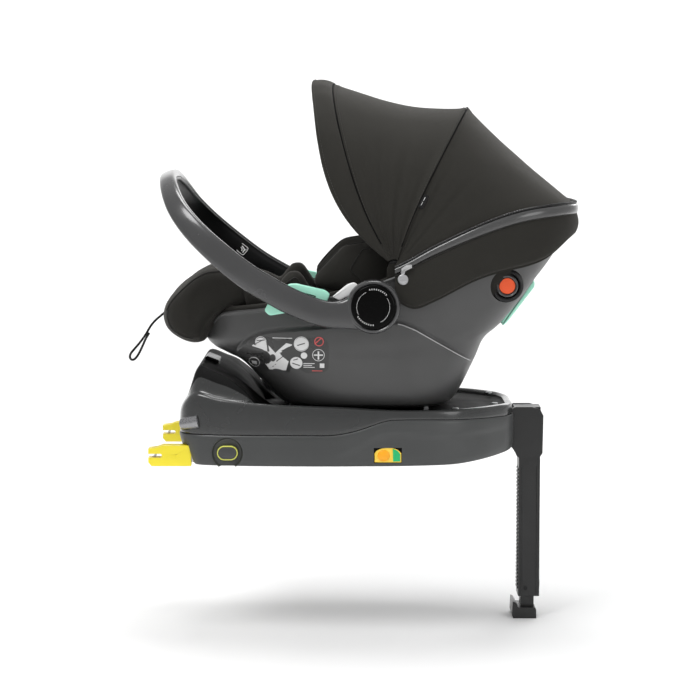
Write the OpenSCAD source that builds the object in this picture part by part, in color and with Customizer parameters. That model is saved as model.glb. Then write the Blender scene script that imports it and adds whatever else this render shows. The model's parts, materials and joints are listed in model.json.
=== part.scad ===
// Infant car seat: a bucket carrier with a carry handle and a folding canopy,
// docked on an ISOFIX base with a telescopic support leg.
// X runs from the foot end (-) to the head end (+), Z is up, and the origin is
// on the underside plane of the base, midway along it and on its centre plane.

/* [Base] */
// Half width of the base at its widest
base_half_w = 178; // [170:1:184]
// Wall thickness of the moulded base housings
base_wall = 4; // [3:0.5:5]
// Height of the floor that the carrier rests on
dock_z = 80; // [78:0.5:81]
// Height of the front tower of the base
tower_z = 152; // [130:1:154]

/* [ISOFIX] */
// Spacing of the two connectors, centre to centre
isofix_spacing = 280; // [280:1:280]
// Radius of the jaw that takes a 6 mm anchorage bar
jaw_r = 3.1; // [3.05:0.05:3.2]
// Height of the anchorage bar above the underside
jaw_z = 13; // [11:0.5:15]
// Travel of the connectors
isofix_travel = 60; // [20:1:60]

/* [Support leg] */
// Depth of the outer leg tube, fore and aft
leg_depth = 34; // [30:1:34]
// Width of the outer leg tube
leg_width = 42; // [36:1:42]
// Height of the leg's hinge axis
leg_pivot_z = 30; // [28:1:31]
// Height of the sole of the foot, with the leg at its shortest
sole_z = -278; // [-278:1:-270]
// Extra length of the leg when it is pulled out
leg_travel = 180; // [60:5:180]

/* [Carrier shell] */
// Half width of the shell at its rim
shell_half_w = 186; // [178:1:187]
// Thickness of the shell wall
shell_wall = 4.5; // [3.5:0.5:5]
// Height of the shell's underside
shell_floor_z = 84; // [82:0.5:86]

/* [Handle] */
// Distance of the middle of each handle arm from the centre plane
arm_y = 210; // [209:1:212]
// Width of a handle arm at its root
arm_w = 40; // [34:1:40]
// Radius of the handle hub
hub_r = 41; // [38:1:42]

/* [Canopy] */
// Half width of the canopy at its pivots
canopy_half_w = 184; // [182:1:185]
// Radius of the front bow at its crown
front_r = 292; // [280:1:294]
// Radius of the middle bow at its crown
mid_r = 268; // [255:1:270]
// Thickness of the canopy cloth
cloth_t = 3; // [2:0.5:3]

/* [Hidden] */
$fn = 48;
gap = 0.4;

// Colours
shell_grey = [0.35, 0.35, 0.35];
base_grey = [0.28, 0.29, 0.29];
cloth_black = [0.20, 0.19, 0.17];
gloss_grey = [0.42, 0.42, 0.42];
deep_black = [0.03, 0.03, 0.04];
mint = [0.67, 0.93, 0.83];
isofix_yellow = [0.95, 0.88, 0.29];
signal_orange = [0.96, 0.34, 0.16];
leg_black = [0.17, 0.17, 0.17];
steel = [0.70, 0.70, 0.70];

// Base outline in plan: half width against X, before scaling to base_half_w
base_plan = [
    [-266, 118], [-262, 138], [-250, 155], [-225, 166], [-180, 174], [-100, 178],
    [40, 178], [110, 173], [165, 160], [205, 133], [233, 102], [250, 78], [259, 50]
];
// Where the outline is sampled along X
base_stations = [
    -266, -264.5, -262, -258, -254, -250, -243, -234, -225, -210, -195, -180, -150, -120, -80,
    -30, 20, 60, 90, 110, 130, 150, 170, 185, 200, 215, 230, 240, 249, 255, 259
];
seam_profile = [[-270, 47], [-20, 47], [30, 60], [62, 71], [150, 70], [262, 67]];
lower_profile = concat(
    [[-247, 0], [-256, 5], [-264, 26], [-267, 44]],
    [for (p = seam_profile) p],
    [[262, 12], [214, 5], [150, 0]]
);
channel_x0 = -215;
channel_half_w = 33;
channel_top = 58;
rib_t = 3;

isofix_y = isofix_spacing / 2;
jaw_x = -293;
connector_x0 = -311;
connector_x1 = -245;
connector_z0 = -3;
connector_z1 = 29;
connector_half_t = 11;
arm_x1 = -20;
arm_half_t = 10;
arm_z0 = 4;
arm_z1 = 26;
hook_x = -266;
hook_z = 13;
hook_half_t = 3;
button_x = -188;
button_z = 20;
button_travel = 4;

leg_x = 287;
pin_r = 4;
running = 0.05;

hub_x = 35;
hub_z = 248;
hub_in = arm_y - 9;
hub_out = arm_y + 9;
pivot_r = 12;

// Shell outlines from the floor to the rim:
// front X, rear X, share of the full half width, front Z, rear Z
shell_levels = [
    [-104, 146, 0.70, shell_floor_z, shell_floor_z],
    [-122, 168, 0.80, 98, 100],
    [-168, 196, 0.92, 148, 156],
    [-196, 212, 0.95, 164, 190],
    [-214, 243, 0.97, 173, 219],
    [-226, 292, 0.99, 184, 284],
    [-229, 345, 1.00, 196, 385]
];
// Height of the shell's rim against X
rim_knots = [
    [-229, 192], [-218, 207], [-207, 221], [-192, 230], [-134, 239], [-60, 252],
    [20, 272], [70, 290], [140, 308], [220, 327], [300, 349], [345, 368]
];
front_power = 2.6;
rear_power = 3.8;
plan_sides = 48;

// Pivot axis of the canopy, parallel to Y
can_x = 68;
can_z = 306;
front_angle = 108;
mid_angle = 64;
bow_tube_r = 3.5;
bow_power = 2.6;

// Middle line of the handle arm, seen from the side: distance along it, X, Z
arm_line = [
    [0, 35, 248], [40, -5, 237], [75, -40, 238], [120, -84, 254], [160, -117, 271],
    [205, -155, 294], [258, -197, 327], [310, -236, 363], [352, -263, 396],
    [392, -281, 431], [412, -288, 449]
];
arm_s0 = 190;
arm_s1 = 402;
handle_power = 2.7;

// Route of the harness pull strap, hand laid, from its slot to its sewn end
strap_route = [
    [-291, 0, 226], [-297, 0, 222], [-303, 0, 217], [-309, 0, 212], [-315, 0, 206],
    [-320, 0, 199], [-325, 0, 190], [-331, 0, 181], [-338, 0, 172], [-345, 0, 164],
    [-351, 0, 157], [-353, 0, 151], [-350, 0, 146], [-345, 0, 147], [-340, 0, 153],
    [-335, 0, 162], [-331, 0, 171], [-327, 0, 180], [-321, 0, 190]
];
strap_r = 1.5;

function mix(a, b, t) = a + (b - a) * t;
function sgn(v) = v < 0 ? -1 : 1;
// Signed power, used for rounded outlines
function spow(v, p) = sgn(v) * pow(abs(v), p);
function segment_of(k, x, i = 0) =
    (i >= len(k) - 2 || x <= k[i + 1][0]) ? i : segment_of(k, x, i + 1);
function slope_at(k, i, c) =
    let (a = max(i - 1, 0), b = min(i + 1, len(k) - 1))
    (k[b][c] - k[a][c]) / (k[b][0] - k[a][0]);
// Smooth curve through the knots [x, value, ...], column c
function curve(k, x, c = 1) =
    let (
        i = segment_of(k, x),
        h = k[i + 1][0] - k[i][0],
        t = min(max((x - k[i][0]) / h, 0), 1)
    )
    k[i][c] * (2 * t * t * t - 3 * t * t + 1)
        + slope_at(k, i, c) * h * (t * t * t - 2 * t * t + t)
        + k[i + 1][c] * (3 * t * t - 2 * t * t * t)
        + slope_at(k, i + 1, c) * h * (t * t * t - t * t);

// Closed solid through a list of rings that have the same number of points
module loft(rings) {
    n = len(rings[0]);
    m = len(rings);
    polyhedron(
        points = [for (r = rings) each r],
        faces = concat(
            [[for (i = [0:n - 1]) i]],
            [for (j = [0:m - 2], i = [0:n - 1])
                [j * n + i, (j + 1) * n + i, (j + 1) * n + (i + 1) % n]],
            [for (j = [0:m - 2], i = [0:n - 1])
                [j * n + i, (j + 1) * n + (i + 1) % n, j * n + (i + 1) % n]],
            [[for (i = [n - 1:-1:0]) (m - 1) * n + i]]
        ),
        convexity = 6
    );
}

// Closed sheet between two grids of points of the same size
module sheet(outer, inner) {
    m = len(outer);
    n = len(outer[0]);
    off = m * n;
    edge = concat(
        [for (i = [0:n - 2]) [0, i, 0, i + 1]],
        [for (j = [0:m - 2]) [j, n - 1, j + 1, n - 1]],
        [for (i = [n - 1:-1:1]) [m - 1, i, m - 1, i - 1]],
        [for (j = [m - 1:-1:1]) [j, 0, j - 1, 0]]
    );
    polyhedron(
        points = concat([for (r = outer) each r], [for (r = inner) each r]),
        faces = concat(
            [for (j = [0:m - 2], i = [0:n - 2])
                [j * n + i, (j + 1) * n + i, (j + 1) * n + i + 1, j * n + i + 1]],
            [for (j = [0:m - 2], i = [0:n - 2])
                [off + j * n + i, off + j * n + i + 1, off + (j + 1) * n + i + 1,
                 off + (j + 1) * n + i]],
            [for (e = edge)
                [e[0] * n + e[1], e[2] * n + e[3], off + e[2] * n + e[3], off + e[0] * n + e[1]]]
        ),
        convexity = 6
    );
}

// Cylinder along Y from y0 to y1 at X, Z
module rod_y(x, z, r, y0, y1) {
    translate([x, min(y0, y1), z])
        rotate([-90, 0, 0])
            cylinder(h = abs(y1 - y0), r = r);
}

// Solid of a side outline, listed as [x, z], between y0 and y1
module side_prism(points, y0, y1) {
    translate([0, max(y0, y1), 0])
        rotate([90, 0, 0])
            linear_extrude(height = abs(y1 - y0))
                polygon(points);
}

// Box from its low corner to its high corner
module block(low, high) {
    translate(low)
        cube(high - low);
}

// Copies the children to both sides of the centre plane
module both_sides() {
    children();
    mirror([0, 1, 0])
        children();
}

// Slot outline: a circle of radius r stretched by w along X
module stadium(w, r) {
    square([w, 2 * r], center = true);
    for (s = [-1, 1])
        translate([s * w / 2, 0])
            circle(r = r);
}

// Slot-shaped solid along Y
module stadium_y(x, z, w, r, y0, y1) {
    translate([x, max(y0, y1), z])
        rotate([90, 0, 0])
            linear_extrude(height = abs(y1 - y0))
                stadium(w, r);
}

// ---------------------------------------------------------------- base

function base_point(x, inset, side) =
    [x * (1 - inset / 262), side * curve(base_plan, x) * (base_half_w - inset) / 178];

module base_prism(inset, z0, z1) {
    last = len(base_stations) - 1;
    translate([0, 0, z0])
        linear_extrude(height = z1 - z0)
            polygon(concat(
                [for (i = [0:last]) base_point(base_stations[i], inset, -1)],
                [for (i = [last:-1:0]) base_point(base_stations[i], inset, 1)]
            ));
}

// Guide tube for one sliding ISOFIX arm
module arm_guide() {
    difference() {
        block([-256, isofix_y - arm_half_t - 4, 1], [-140, isofix_y + arm_half_t + 4, arm_z1 + 4]);
        block([-270, isofix_y - arm_half_t - gap, arm_z0 - gap], [-130, isofix_y + arm_half_t + gap,
            arm_z1 + gap]);
    }
}

module base_lower_housing() {
    color(base_grey)
    difference() {
        intersection() {
            base_prism(0, -1, 80);
            side_prism(lower_profile, -200, 200);
        }
        // hollow, less the walls that stand inside it
        difference() {
            base_prism(base_wall, base_wall, 100);
            block([channel_x0 - rib_t, -channel_half_w - rib_t, -1],
                [300, channel_half_w + rib_t, channel_top + rib_t]);
            both_sides() {
                rod_y(button_x, button_z, 19, isofix_y + arm_half_t + 5, 200);
                arm_guide();
            }
            block([30, -200, 0], [86, -158, 36]);
        }
        // channel that the folded leg lies in
        block([channel_x0, -channel_half_w, -5], [300, channel_half_w, channel_top]);
        both_sides() {
            // mouth of each ISOFIX tunnel
            block([-290, isofix_y - connector_half_t - 1.5, -5],
                [connector_x1 + 8, isofix_y + connector_half_t + 1.5, connector_z1 + 2]);
            block([-270, isofix_y - arm_half_t - gap, arm_z0 - gap],
                [-130, isofix_y + arm_half_t + gap, arm_z1 + gap]);
            // recess and guide of the arm release button
            rod_y(button_x, button_z, 17, 168, 200);
            stadium_y(button_x, button_z, 10 + 2 * gap, 9 + gap, 150, 200);
        }
        // pocket and bore of the indicator
        block([36, -200, 4], [80, -168, 30]);
        stadium_y(52, 16, 6 + 2 * gap, 8 + gap, -172, -150);
    }
}

rim_profile = [
    [-262, 84], [-246, 103], [-240, 124], [-235, 146], [-228, tower_z], [-206, 142],
    [-182, 132], [-152, 103], [-128, 96], [-15, 90], [80, 86], [235, 86], [254, 83], [262, 74]
];

module base_upper_cover() {
    color(base_grey)
    difference() {
        intersection() {
            base_prism(1.5, 40, 160);
            side_prism(concat([for (p = seam_profile) p + [0, gap]],
                [for (i = [len(rim_profile) - 1:-1:0]) rim_profile[i]]), -200, 200);
        }
        // dished floor under the carrier
        intersection() {
            base_prism(16, dock_z - 4, 200);
            side_prism([[-152, 100], [-140, dock_z], [230, dock_z - 4], [252, 90], [252, 200],
                [-230, 200], [-214, 150], [-182, 132.5]], -200, 200);
        }
        // hollow under the skin
        intersection() {
            base_prism(7, 30, 160);
            side_prism([[-254, 40], [-254, 84], [-236, 102], [-226, 140], [-212, 138],
                [-190, 128], [-158, 98], [-140, dock_z - 5], [240, dock_z - 9], [248, 40]],
                -200, 200);
        }
        // opening of the release button on the tower
        block([-231, -32 - gap, 120], [-207 + gap, 32 + gap, 160]);
        block([236, -channel_half_w, 0], [300, channel_half_w, 66]);
        for (x = [-92, 118])
            rod_y(x, dock_z + 4, 5, -120, 120);
    }
}

module button_trims() {
    color([0.88, 0.89, 0.48])
    both_sides()
        difference() {
            stadium_y(button_x, button_z, 10, 11, 164.5, 171.5);
            stadium_y(button_x, button_z, 10, 9 + gap, 150, 200);
        }
}

module indicator_frame() {
    color([1.0, 0.85, 0.29])
    difference() {
        block([37, -173.5, 5], [79, -168.5, 29]);
        stadium_y(52, 16, 6 + 2 * gap, 8 + gap, -180, -160);
        block([66, -180, 7], [76, -160, 27]);
    }
}

module indicator_marker() {
    color([0.02, 0.72, 0.43])
    block([66.3, -173, 7.3], [75.7, -168.3, 26.7]);
}

module corner_caps() {
    color(steel)
    both_sides()
        translate([-238, 153, 66])
            rotate([0, -102, 20])
                rotate_extrude()
                    polygon([[0, -8], [11, -8], [11.8, -4], [10, 20], [8.5, 24], [0, 24]]);
}

module dock_bars() {
    color(steel)
    for (x = [-92, 118])
        rod_y(x, dock_z + 2, 4, -119, 119);
}

module leg_bracket() {
    color(leg_black)
    difference() {
        union() {
            both_sides()
                side_prism([[240, 30], [262, 4], [266, -5], [270, -8], [303, -6], [307, 0], [308, 60],
                    [303, 70], [290, 74], [264, 74], [240, 64]], leg_width / 2 + 0.6, leg_width / 2 + 8);
            block([262, -leg_width / 2 - 0.7, 62], [304, leg_width / 2 + 0.7, 73]);
        }
        rod_y(leg_x, leg_pivot_z, pin_r, -leg_width / 2 - 6, leg_width / 2 + 6);
    }
}

module leg_hinge_pin() {
    color(steel)
    rod_y(leg_x, leg_pivot_z, pin_r - 0.02, -leg_width / 2 - 5.9, leg_width / 2 + 5.9);
}

module base_screws() {
    color(steel)
    both_sides()
        for (p = [[-200, 100], [-60, 96], [70, 150], [170, 96]])
            translate([p[0], p[1], 0])
                union() {
                    translate([0, 0, 0.5])
                        cylinder(h = 3, r = 4);
                    cylinder(h = 20, r = 2);
                }
}

// ---------------------------------------------------------------- ISOFIX

// Sliding bar of one connector; side is -1 or 1
module isofix_arm(side) {
    color(steel)
    difference() {
        block([connector_x1 + 0.2, side * isofix_y - arm_half_t, arm_z0],
            [arm_x1, side * isofix_y + arm_half_t, arm_z1]);
        block([connector_x1 + 12, side * isofix_y - arm_half_t + 3, arm_z0 + 3],
            [arm_x1 - 10, side * isofix_y + arm_half_t - 3, arm_z1 - 3]);
    }
}

module isofix_arm_left() {
    isofix_arm(1);
}

module isofix_arm_right() {
    isofix_arm(-1);
}

// Jaw housing of one connector, open at the front for the anchorage bar
module isofix_connector(side) {
    y = side * isofix_y;
    color(isofix_yellow)
    difference() {
        side_prism([
            [connector_x0, 3], [connector_x0 + 5, connector_z0], [connector_x1, connector_z0],
            [connector_x1, connector_z1], [connector_x0 + 22, connector_z1],
            [connector_x0 + 14, 26], [connector_x0, 24]
        ], y - connector_half_t, y + connector_half_t);
        rod_y(jaw_x, jaw_z, jaw_r, y - 20, y + 20);
        block([connector_x0 - 5, y - 20, jaw_z - jaw_r], [jaw_x, y + 20, jaw_z + jaw_r]);
        // slot that the hook swings in
        block([-306, y - hook_half_t - 0.5, -10], [-252, y + hook_half_t + 0.5, 40]);
        rod_y(hook_x, hook_z, pin_r - 1, y - 20, y + 20);
    }
    color(steel)
    rod_y(hook_x, hook_z, pin_r - 1.02, y - connector_half_t, y + connector_half_t);
}

module isofix_connector_left() {
    isofix_connector(1);
}

module isofix_connector_right() {
    isofix_connector(-1);
}

// Latch hook that closes the jaw from above
module isofix_hook(side) {
    y = side * isofix_y;
    color(steel)
    difference() {
        side_prism([
            [-304, 11], [-300, 17.5], [-297, 22], [-290, 25], [-262, 26], [-255, 20], [-255, 6],
            [-262, 3], [-278, 6], [-287, 17.5], [-290, 19], [-297.5, 17], [-300, 10]
        ], y - hook_half_t, y + hook_half_t);
        rod_y(hook_x, hook_z, pin_r - 1.02 + running, y - 20, y + 20);
        rod_y(jaw_x, jaw_z, jaw_r + 0.3, y - 20, y + 20);
    }
}

module isofix_hook_left() {
    isofix_hook(1);
}

module isofix_hook_right() {
    isofix_hook(-1);
}

// Bridge that ties the two arms together over the leg channel
module isofix_yoke() {
    color(steel)
    difference() {
        block([arm_x1 - 35, -isofix_y - arm_half_t, arm_z1 + 0.2],
            [arm_x1, isofix_y + arm_half_t, channel_top + rib_t + 7]);
        block([arm_x1 - 40, -isofix_y + arm_half_t, 0],
            [arm_x1 + 10, isofix_y - arm_half_t, channel_top + rib_t + 2]);
    }
}

// ---------------------------------------------------------------- buttons

module arm_button(side) {
    color(deep_black)
    stadium_y(button_x, button_z, 10, 9, side * 156, side * 173);
}

module arm_button_left() {
    arm_button(1);
}

module arm_button_right() {
    arm_button(-1);
}

module indicator_button() {
    color(signal_orange)
    stadium_y(52, 16, 6, 8, -156, -175);
}

module release_button() {
    color(gloss_grey)
    side_prism([[-230, 134], [-230, 154], [-226, 156], [-208, 149], [-208, 134]], -32, 32);
}

// ---------------------------------------------------------------- support leg

module leg_outer_tube() {
    color(leg_black)
    difference() {
        union() {
            rod_y(leg_x, leg_pivot_z, leg_depth / 2, -leg_width / 2, leg_width / 2);
            block([leg_x - leg_depth / 2, -leg_width / 2, -233],
                [leg_x + leg_depth / 2, leg_width / 2, leg_pivot_z]);
        }
        rod_y(leg_x, leg_pivot_z, pin_r - 0.02 + running, -60, 60);
        block([leg_x - leg_depth / 2 + 4, -leg_width / 2 + 4, -250],
            [leg_x + leg_depth / 2 - 4, leg_width / 2 - 4, 0]);
        // hole of the height button
        translate([leg_x + 5, 0, -215])
            rotate([0, 90, 0])
                cylinder(h = 40, r = 8 + gap);
    }
}

module leg_button() {
    color(gloss_grey)
    translate([leg_x + leg_depth / 2 - 3.5, 0, -215])
        rotate([0, 90, 0])
            cylinder(h = 5, r = 8);
}

module leg_inner_tube() {
    color(leg_black)
    difference() {
        block([leg_x - leg_depth / 2 + 4 + gap, -leg_width / 2 + 4 + gap, -258],
            [leg_x + leg_depth / 2 - 4 - gap - 4, leg_width / 2 - 4 - gap, -8]);
        block([leg_x - leg_depth / 2 + 7, -leg_width / 2 + 7, -248],
            [leg_x + leg_depth / 2 - 11, leg_width / 2 - 7, 0]);
        // detent holes for the height button
        for (z = [-215 + 20:20:-20])
            translate([leg_x, 0, z])
                rotate([0, 90, 0])
                    cylinder(h = 30, r = 3);
    }
}

module leg_foot() {
    color(leg_black)
    difference() {
        side_prism([
            [261, -240], [265, -242], [270, -250], [297, -250], [299, -254], [299, -268],
            [297, -273], [266, -273], [262, -268], [260, -262]
        ], -29, 29);
        block([leg_x - leg_depth / 2 + 4 + gap - 0.1, -leg_width / 2 + 4 + gap - 0.1, -258.1],
            [leg_x + leg_depth / 2 - 4 - gap - 3.9, leg_width / 2 - 4 - gap + 0.1, -200]);
    }
}

module leg_sole() {
    color(deep_black)
    side_prism([[265, -273.1], [298, -273.1], [294, sole_z], [272, sole_z]], -28, 28);
}

// ---------------------------------------------------------------- carrier

function rim_z(x) = curve(rim_knots, x);

// One point of a shell outline; inset moves it inwards
function shell_point(level, a, inset, lift = 0) =
    let (
        xf = level[0] + inset,
        xr = level[1] - inset,
        power = cos(a) > 0 ? rear_power : front_power,
        x = (xf + xr) / 2 + (xr - xf) / 2 * spow(cos(a), 2 / power),
        y = (level[2] * shell_half_w - inset) * spow(sin(a), 2 / power),
        t = (x - xf) / (xr - xf),
        z = level == shell_levels[6] ? rim_z(x) : mix(level[3], level[4], t)
    )
    [x, y, z + lift];
function shell_ring(i, inset, lift = 0) =
    [for (k = [0:plan_sides - 1]) shell_point(shell_levels[i], k * 360 / plan_sides, inset, lift)];

module carrier_shell() {
    top = len(shell_levels) - 1;
    color(shell_grey)
    difference() {
        loft(concat(
            [for (i = [0:top]) shell_ring(i, 0)],
            [for (i = [top:-1:0]) shell_ring(i, shell_wall, i == 0 ? shell_wall : 0)]
        ));
        both_sides() {
            // bore that each side impact pod slides in
            rod_y(240, 276, 19.6, 100, 200);
            for (x = [-92, 118])
                side_prism([[x - 6, 60], [x - 6, 84], [x - 4, 88], [x + 4, 88], [x + 6, 84],
                    [x + 6, 60]], -130, 130);
        }
    }
}

// Bosses and shafts that the handle turns on
module handle_pivots() {
    color(deep_black)
    both_sides() {
        rod_y(hub_x, hub_z, 30, shell_half_w - 10, hub_in - 0.5);
        rod_y(hub_x, hub_z, pivot_r, hub_in - 1, hub_in + 8);
    }
}

// Hooks on the rim that guide the lap belt of the vehicle
module belt_guides() {
    color(mint)
    both_sides()
        difference() {
            side_prism([
                [-130, 240], [-122, 233], [-48, 246], [-34, 256], [-30, 268], [-38, 274], [-84, 286],
                [-96, 285], [-120, 262], [-130, 248]
            ], shell_half_w - 3, shell_half_w + 9);
            side_prism([[-112, 258], [-54, 258], [-50, 263], [-86, 273], [-96, 272]],
                0, 250);
        }
}

// Hook behind the backrest that guides the shoulder belt of the vehicle
module rear_belt_guide() {
    color(mint)
    side_prism([[237, 214], [240, 206], [247, 212], [290, 268], [290, 276], [287, 280],
        [283, 276]], -62, 62);
}

module guide_tabs() {
    color([0.95, 0.95, 0.95])
    both_sides()
        side_prism([[-27, 262], [-4, 281], [6, 284], [14, 279], [12, 270], [-16, 256]],
            shell_half_w + 1, shell_half_w + 9);
}

// Thin plates that follow the lower side of the shell
module label_plates() {
    low = shell_levels[2];
    high = shell_levels[4];
    rows = 4;
    columns = 8;
    grid = [for (out = [1.2, -0.8])
        [for (j = [0:rows])
            [for (k = [0:columns])
                shell_point(mix(low, high, j / rows), mix(102, 136, k / columns), -out)]]];
    color([0.30, 0.30, 0.30])
    both_sides()
        sheet(grid[0], grid[1]);
}

// Housings that the side impact pods slide in
module pod_housings() {
    color(deep_black)
    both_sides()
        difference() {
            rod_y(240, 276, 26, 134, 159);
            rod_y(240, 276, 17 + running, 100, 190);
        }
}

module side_pod(side) {
    color(signal_orange)
    rod_y(240, 276, 17, side * 136, side * 162);
}

module side_pod_left() {
    side_pod(1);
}

module side_pod_right() {
    side_pod(-1);
}

// ---------------------------------------------------------------- soft goods

// Seat space outlines from the floor to the rim, as for the shell
seat_levels = [
    [-130, 70, 0.46, 140, 140],
    [-176, 120, 0.62, 160, 178],
    [-202, 196, 0.76, 186, 246],
    [-210, 312, 0.88, 200, 372]
];

function seat_point(level, a, top) =
    let (
        xf = level[0],
        xr = level[1],
        power = cos(a) > 0 ? 3.0 : front_power,
        x = (xf + xr) / 2 + (xr - xf) / 2 * spow(cos(a), 2 / power),
        y = level[2] * shell_half_w * spow(sin(a), 2 / power),
        t = (x - xf) / (xr - xf),
        z = top ? rim_z(x) - 3 : mix(level[3], level[4], t)
    )
    [x, y, z];
function seat_ring(i) =
    [for (k = [0:plan_sides - 1])
        seat_point(seat_levels[i], k * 360 / plan_sides, i == len(seat_levels) - 1)];

module seat_liner() {
    top = len(shell_levels) - 1;
    color(cloth_black)
    difference() {
        loft(concat(
            [for (i = [0:top]) shell_ring(i, shell_wall + (i == top ? 4.5 : 1.2),
                i == top ? -3 : (i == 0 ? shell_wall + 1.5 : 1))],
            [for (i = [len(seat_levels) - 1:-1:0]) seat_ring(i)]
        ));
        // room behind each side impact pod
        both_sides()
            rod_y(240, 276, 27, 120, 200);
    }
}

// Padded foot end of the seat cover, hung over the rim of the shell
foot_outline = [
    [-233, 181], [-252, 182], [-272, 190], [-284, 202], [-290, 218], [-289, 234], [-280, 248],
    [-262, 266], [-240, 285], [-222, 295], [-200, 298], [-176, 294], [-160, 280], [-152, 262],
    [-152, 243], [-192, 234], [-207, 225.5], [-218, 211.5], [-230.5, 198]
];
foot_mid = [-228, 240];

module foot_pad() {
    color(cloth_black)
    difference() {
        loft([
            for (s = [-1, -0.985, -0.93, -0.8, -0.5, 0, 0.5, 0.8, 0.93, 0.985, 1])
                let (k = pow(1 - pow(abs(s), 4), 0.25) * 0.62 + 0.38)
                [for (p = foot_outline)
                    [mix(foot_mid[0], p[0], k), s * 124, mix(foot_mid[1], p[1], k)]]
        ]);
        // the rim of the shell stays clear
        side_prism([[-231, 170], [-231, 198], [-218, 212], [-207, 226], [-193, 234.5],
            [-150, 240], [-150, 170]], -200, 200);
        block([-300, -3, 223], [-280, 3, 229]);
    }
}

module side_bolsters() {
    color(cloth_black)
    both_sides() {
        hull()
            for (p = [[-112, 114, 255, 16], [-86, 116, 282, 17], [-100, 110, 222, 15],
                [-64, 114, 258, 12]])
                translate([p[0], p[1], p[2]])
                    sphere(r = p[3], $fn = 20);
        hull()
            for (p = [[-150, 106, 268, 20], [-132, 106, 262, 20], [-146, 104, 240, 16],
                [-116, 106, 250, 18]])
                translate([p[0], p[1], p[2]])
                    sphere(r = p[3], $fn = 20);
    }
}

// Outline of a ribbon of thickness t along the middle line pts, listed as [x, z]
function ribbon_side(pts, d) =
    [for (i = [0:len(pts) - 1])
        let (
            v = pts[min(i + 1, len(pts) - 1)] - pts[max(i - 1, 0)],
            u = v / norm(v)
        )
        pts[i] + d * [-u[1], u[0]]];
function ribbon(pts, t) =
    let (a = ribbon_side(pts, t / 2), b = ribbon_side(pts, -t / 2))
    concat(a, [for (i = [len(b) - 1:-1:0]) b[i]]);

shoulder_line = [[-41, 158], [20, 150], [66, 151], [100, 170], [130, 202], [150, 236], [156, 252]];
pad_line = [[58, 158], [94, 173], [122, 201], [143, 234], [154, 262]];

// Webbing of the harness: two shoulder straps and the crotch strap
module harness_straps() {
    color(cloth_black)
    union() {
        both_sides()
            side_prism(ribbon(shoulder_line, 2), 22, 58);
        side_prism(ribbon([[-108, 144], [-90, 150], [-77, 156]], 2), -18, 18);
    }
}

module shoulder_pads() {
    color(cloth_black)
    both_sides()
        side_prism(ribbon([for (p = pad_line) p + [-5, 5]], 9), 16, 64);
}

module buckle() {
    color(deep_black)
    difference() {
        side_prism([[-74, 145], [-44, 145], [-40, 149], [-40, 161], [-46, 167], [-70, 167],
            [-76, 161], [-76, 149]], -26, 26);
        block([-66, -14 - gap, 153], [-48 + gap, 14 + gap, 180]);
    }
}

module buckle_button() {
    color([0.75, 0.06, 0.05])
    block([-65.5, -14, 159], [-48.5, 14, 170]);
}

module adjuster_button() {
    color(gloss_grey)
    block([-170, -14, 161], [-150, 14, 171]);
}

// Padded head support with two side wings
module headrest() {
    color(cloth_black)
    union() {
        both_sides()
            hull() {
                for (p = [[-44, 118, 282, 14], [-6, 122, 322, 16], [90, 124, 340, 16],
                    [190, 118, 320, 14], [150, 118, 270, 14], [40, 120, 262, 14]])
                    translate([p[0], p[1], p[2]])
                        sphere(r = p[3], $fn = 20);
            }
        hull()
            for (side = [-1, 1], p = [[176, 84, 262, 14], [230, 104, 322, 14]])
                translate([p[0], side * p[1], p[2]])
                    sphere(r = p[3], $fn = 20);
    }
}

// Band of cloth wrapped round the rim behind the canopy pivots
boot_steps = 44;
// Angle of a boot station: closer together towards the two ends
function boot_angle(k) =
    let (u = 2 * k / boot_steps - 1)
    90 * sgn(u) * (1 - pow(1 - abs(u), 2));
function boot_z_low(x) = curve([[60, 262], [95, 243], [127, 253], [184, 282], [216, 294],
    [295, 315], [345, 350], [360, 352]], x);
function zip_z(x) = curve([[60, 297], [86, 309], [127, 331], [199, 363], [257, 382], [320, 391],
    [350, 392]], x);
function boot_point(a, out, z) =
    let (
        power = cos(a) > 0 ? rear_power : 3,
        x = 68 + (281 + out) * spow(cos(a), 2 / power),
        y = (shell_half_w + out) * spow(sin(a), 2 / power)
    )
    [x, y, z];

module rear_boot() {
    rows = 5;
    grid = [for (j = [0:rows])
        [for (k = [0:boot_steps])
            let (
                p = boot_point(boot_angle(k), 5, 0),
                q = boot_point(boot_angle(k), 1, 0),
                z = mix(zip_z(p[0]) - 2, boot_z_low(p[0]), j / rows)
            )
            [[p[0], p[1], z], [q[0], q[1], z]]]];
    color(cloth_black)
    sheet([for (r = grid) [for (g = r) g[0]]], [for (r = grid) [for (g = r) g[1]]]);
}

module zip_band() {
    rings = [for (k = [0:boot_steps])
        let (
            p = boot_point(boot_angle(k), 7, 0),
            q = boot_point(boot_angle(k), 1, 0),
            z = zip_z(p[0])
        )
        [[p[0], p[1], z - 1.6], [p[0], p[1], z + 5], [q[0], q[1], z + 7], [q[0], q[1], z - 1.6]]];
    color(gloss_grey)
    loft(rings);
}

module zip_slider() {
    color(gloss_grey)
    side_prism([[72, 302], [90, 309], [92, 314], [88, 318], [72, 312]], -193.6, -198.4);
}

module zip_pull() {
    color(steel)
    difference() {
        union() {
            rod_y(80, 288, 8, -194.6, -196.6);
            side_prism([[77, 290], [77, 299], [83, 299], [83, 290]], -194.6, -196.6);
            rod_y(80, 299, 3.5, -194.6, -196.6);
        }
        rod_y(80, 288, 4, -190, -200);
    }
}

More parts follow.
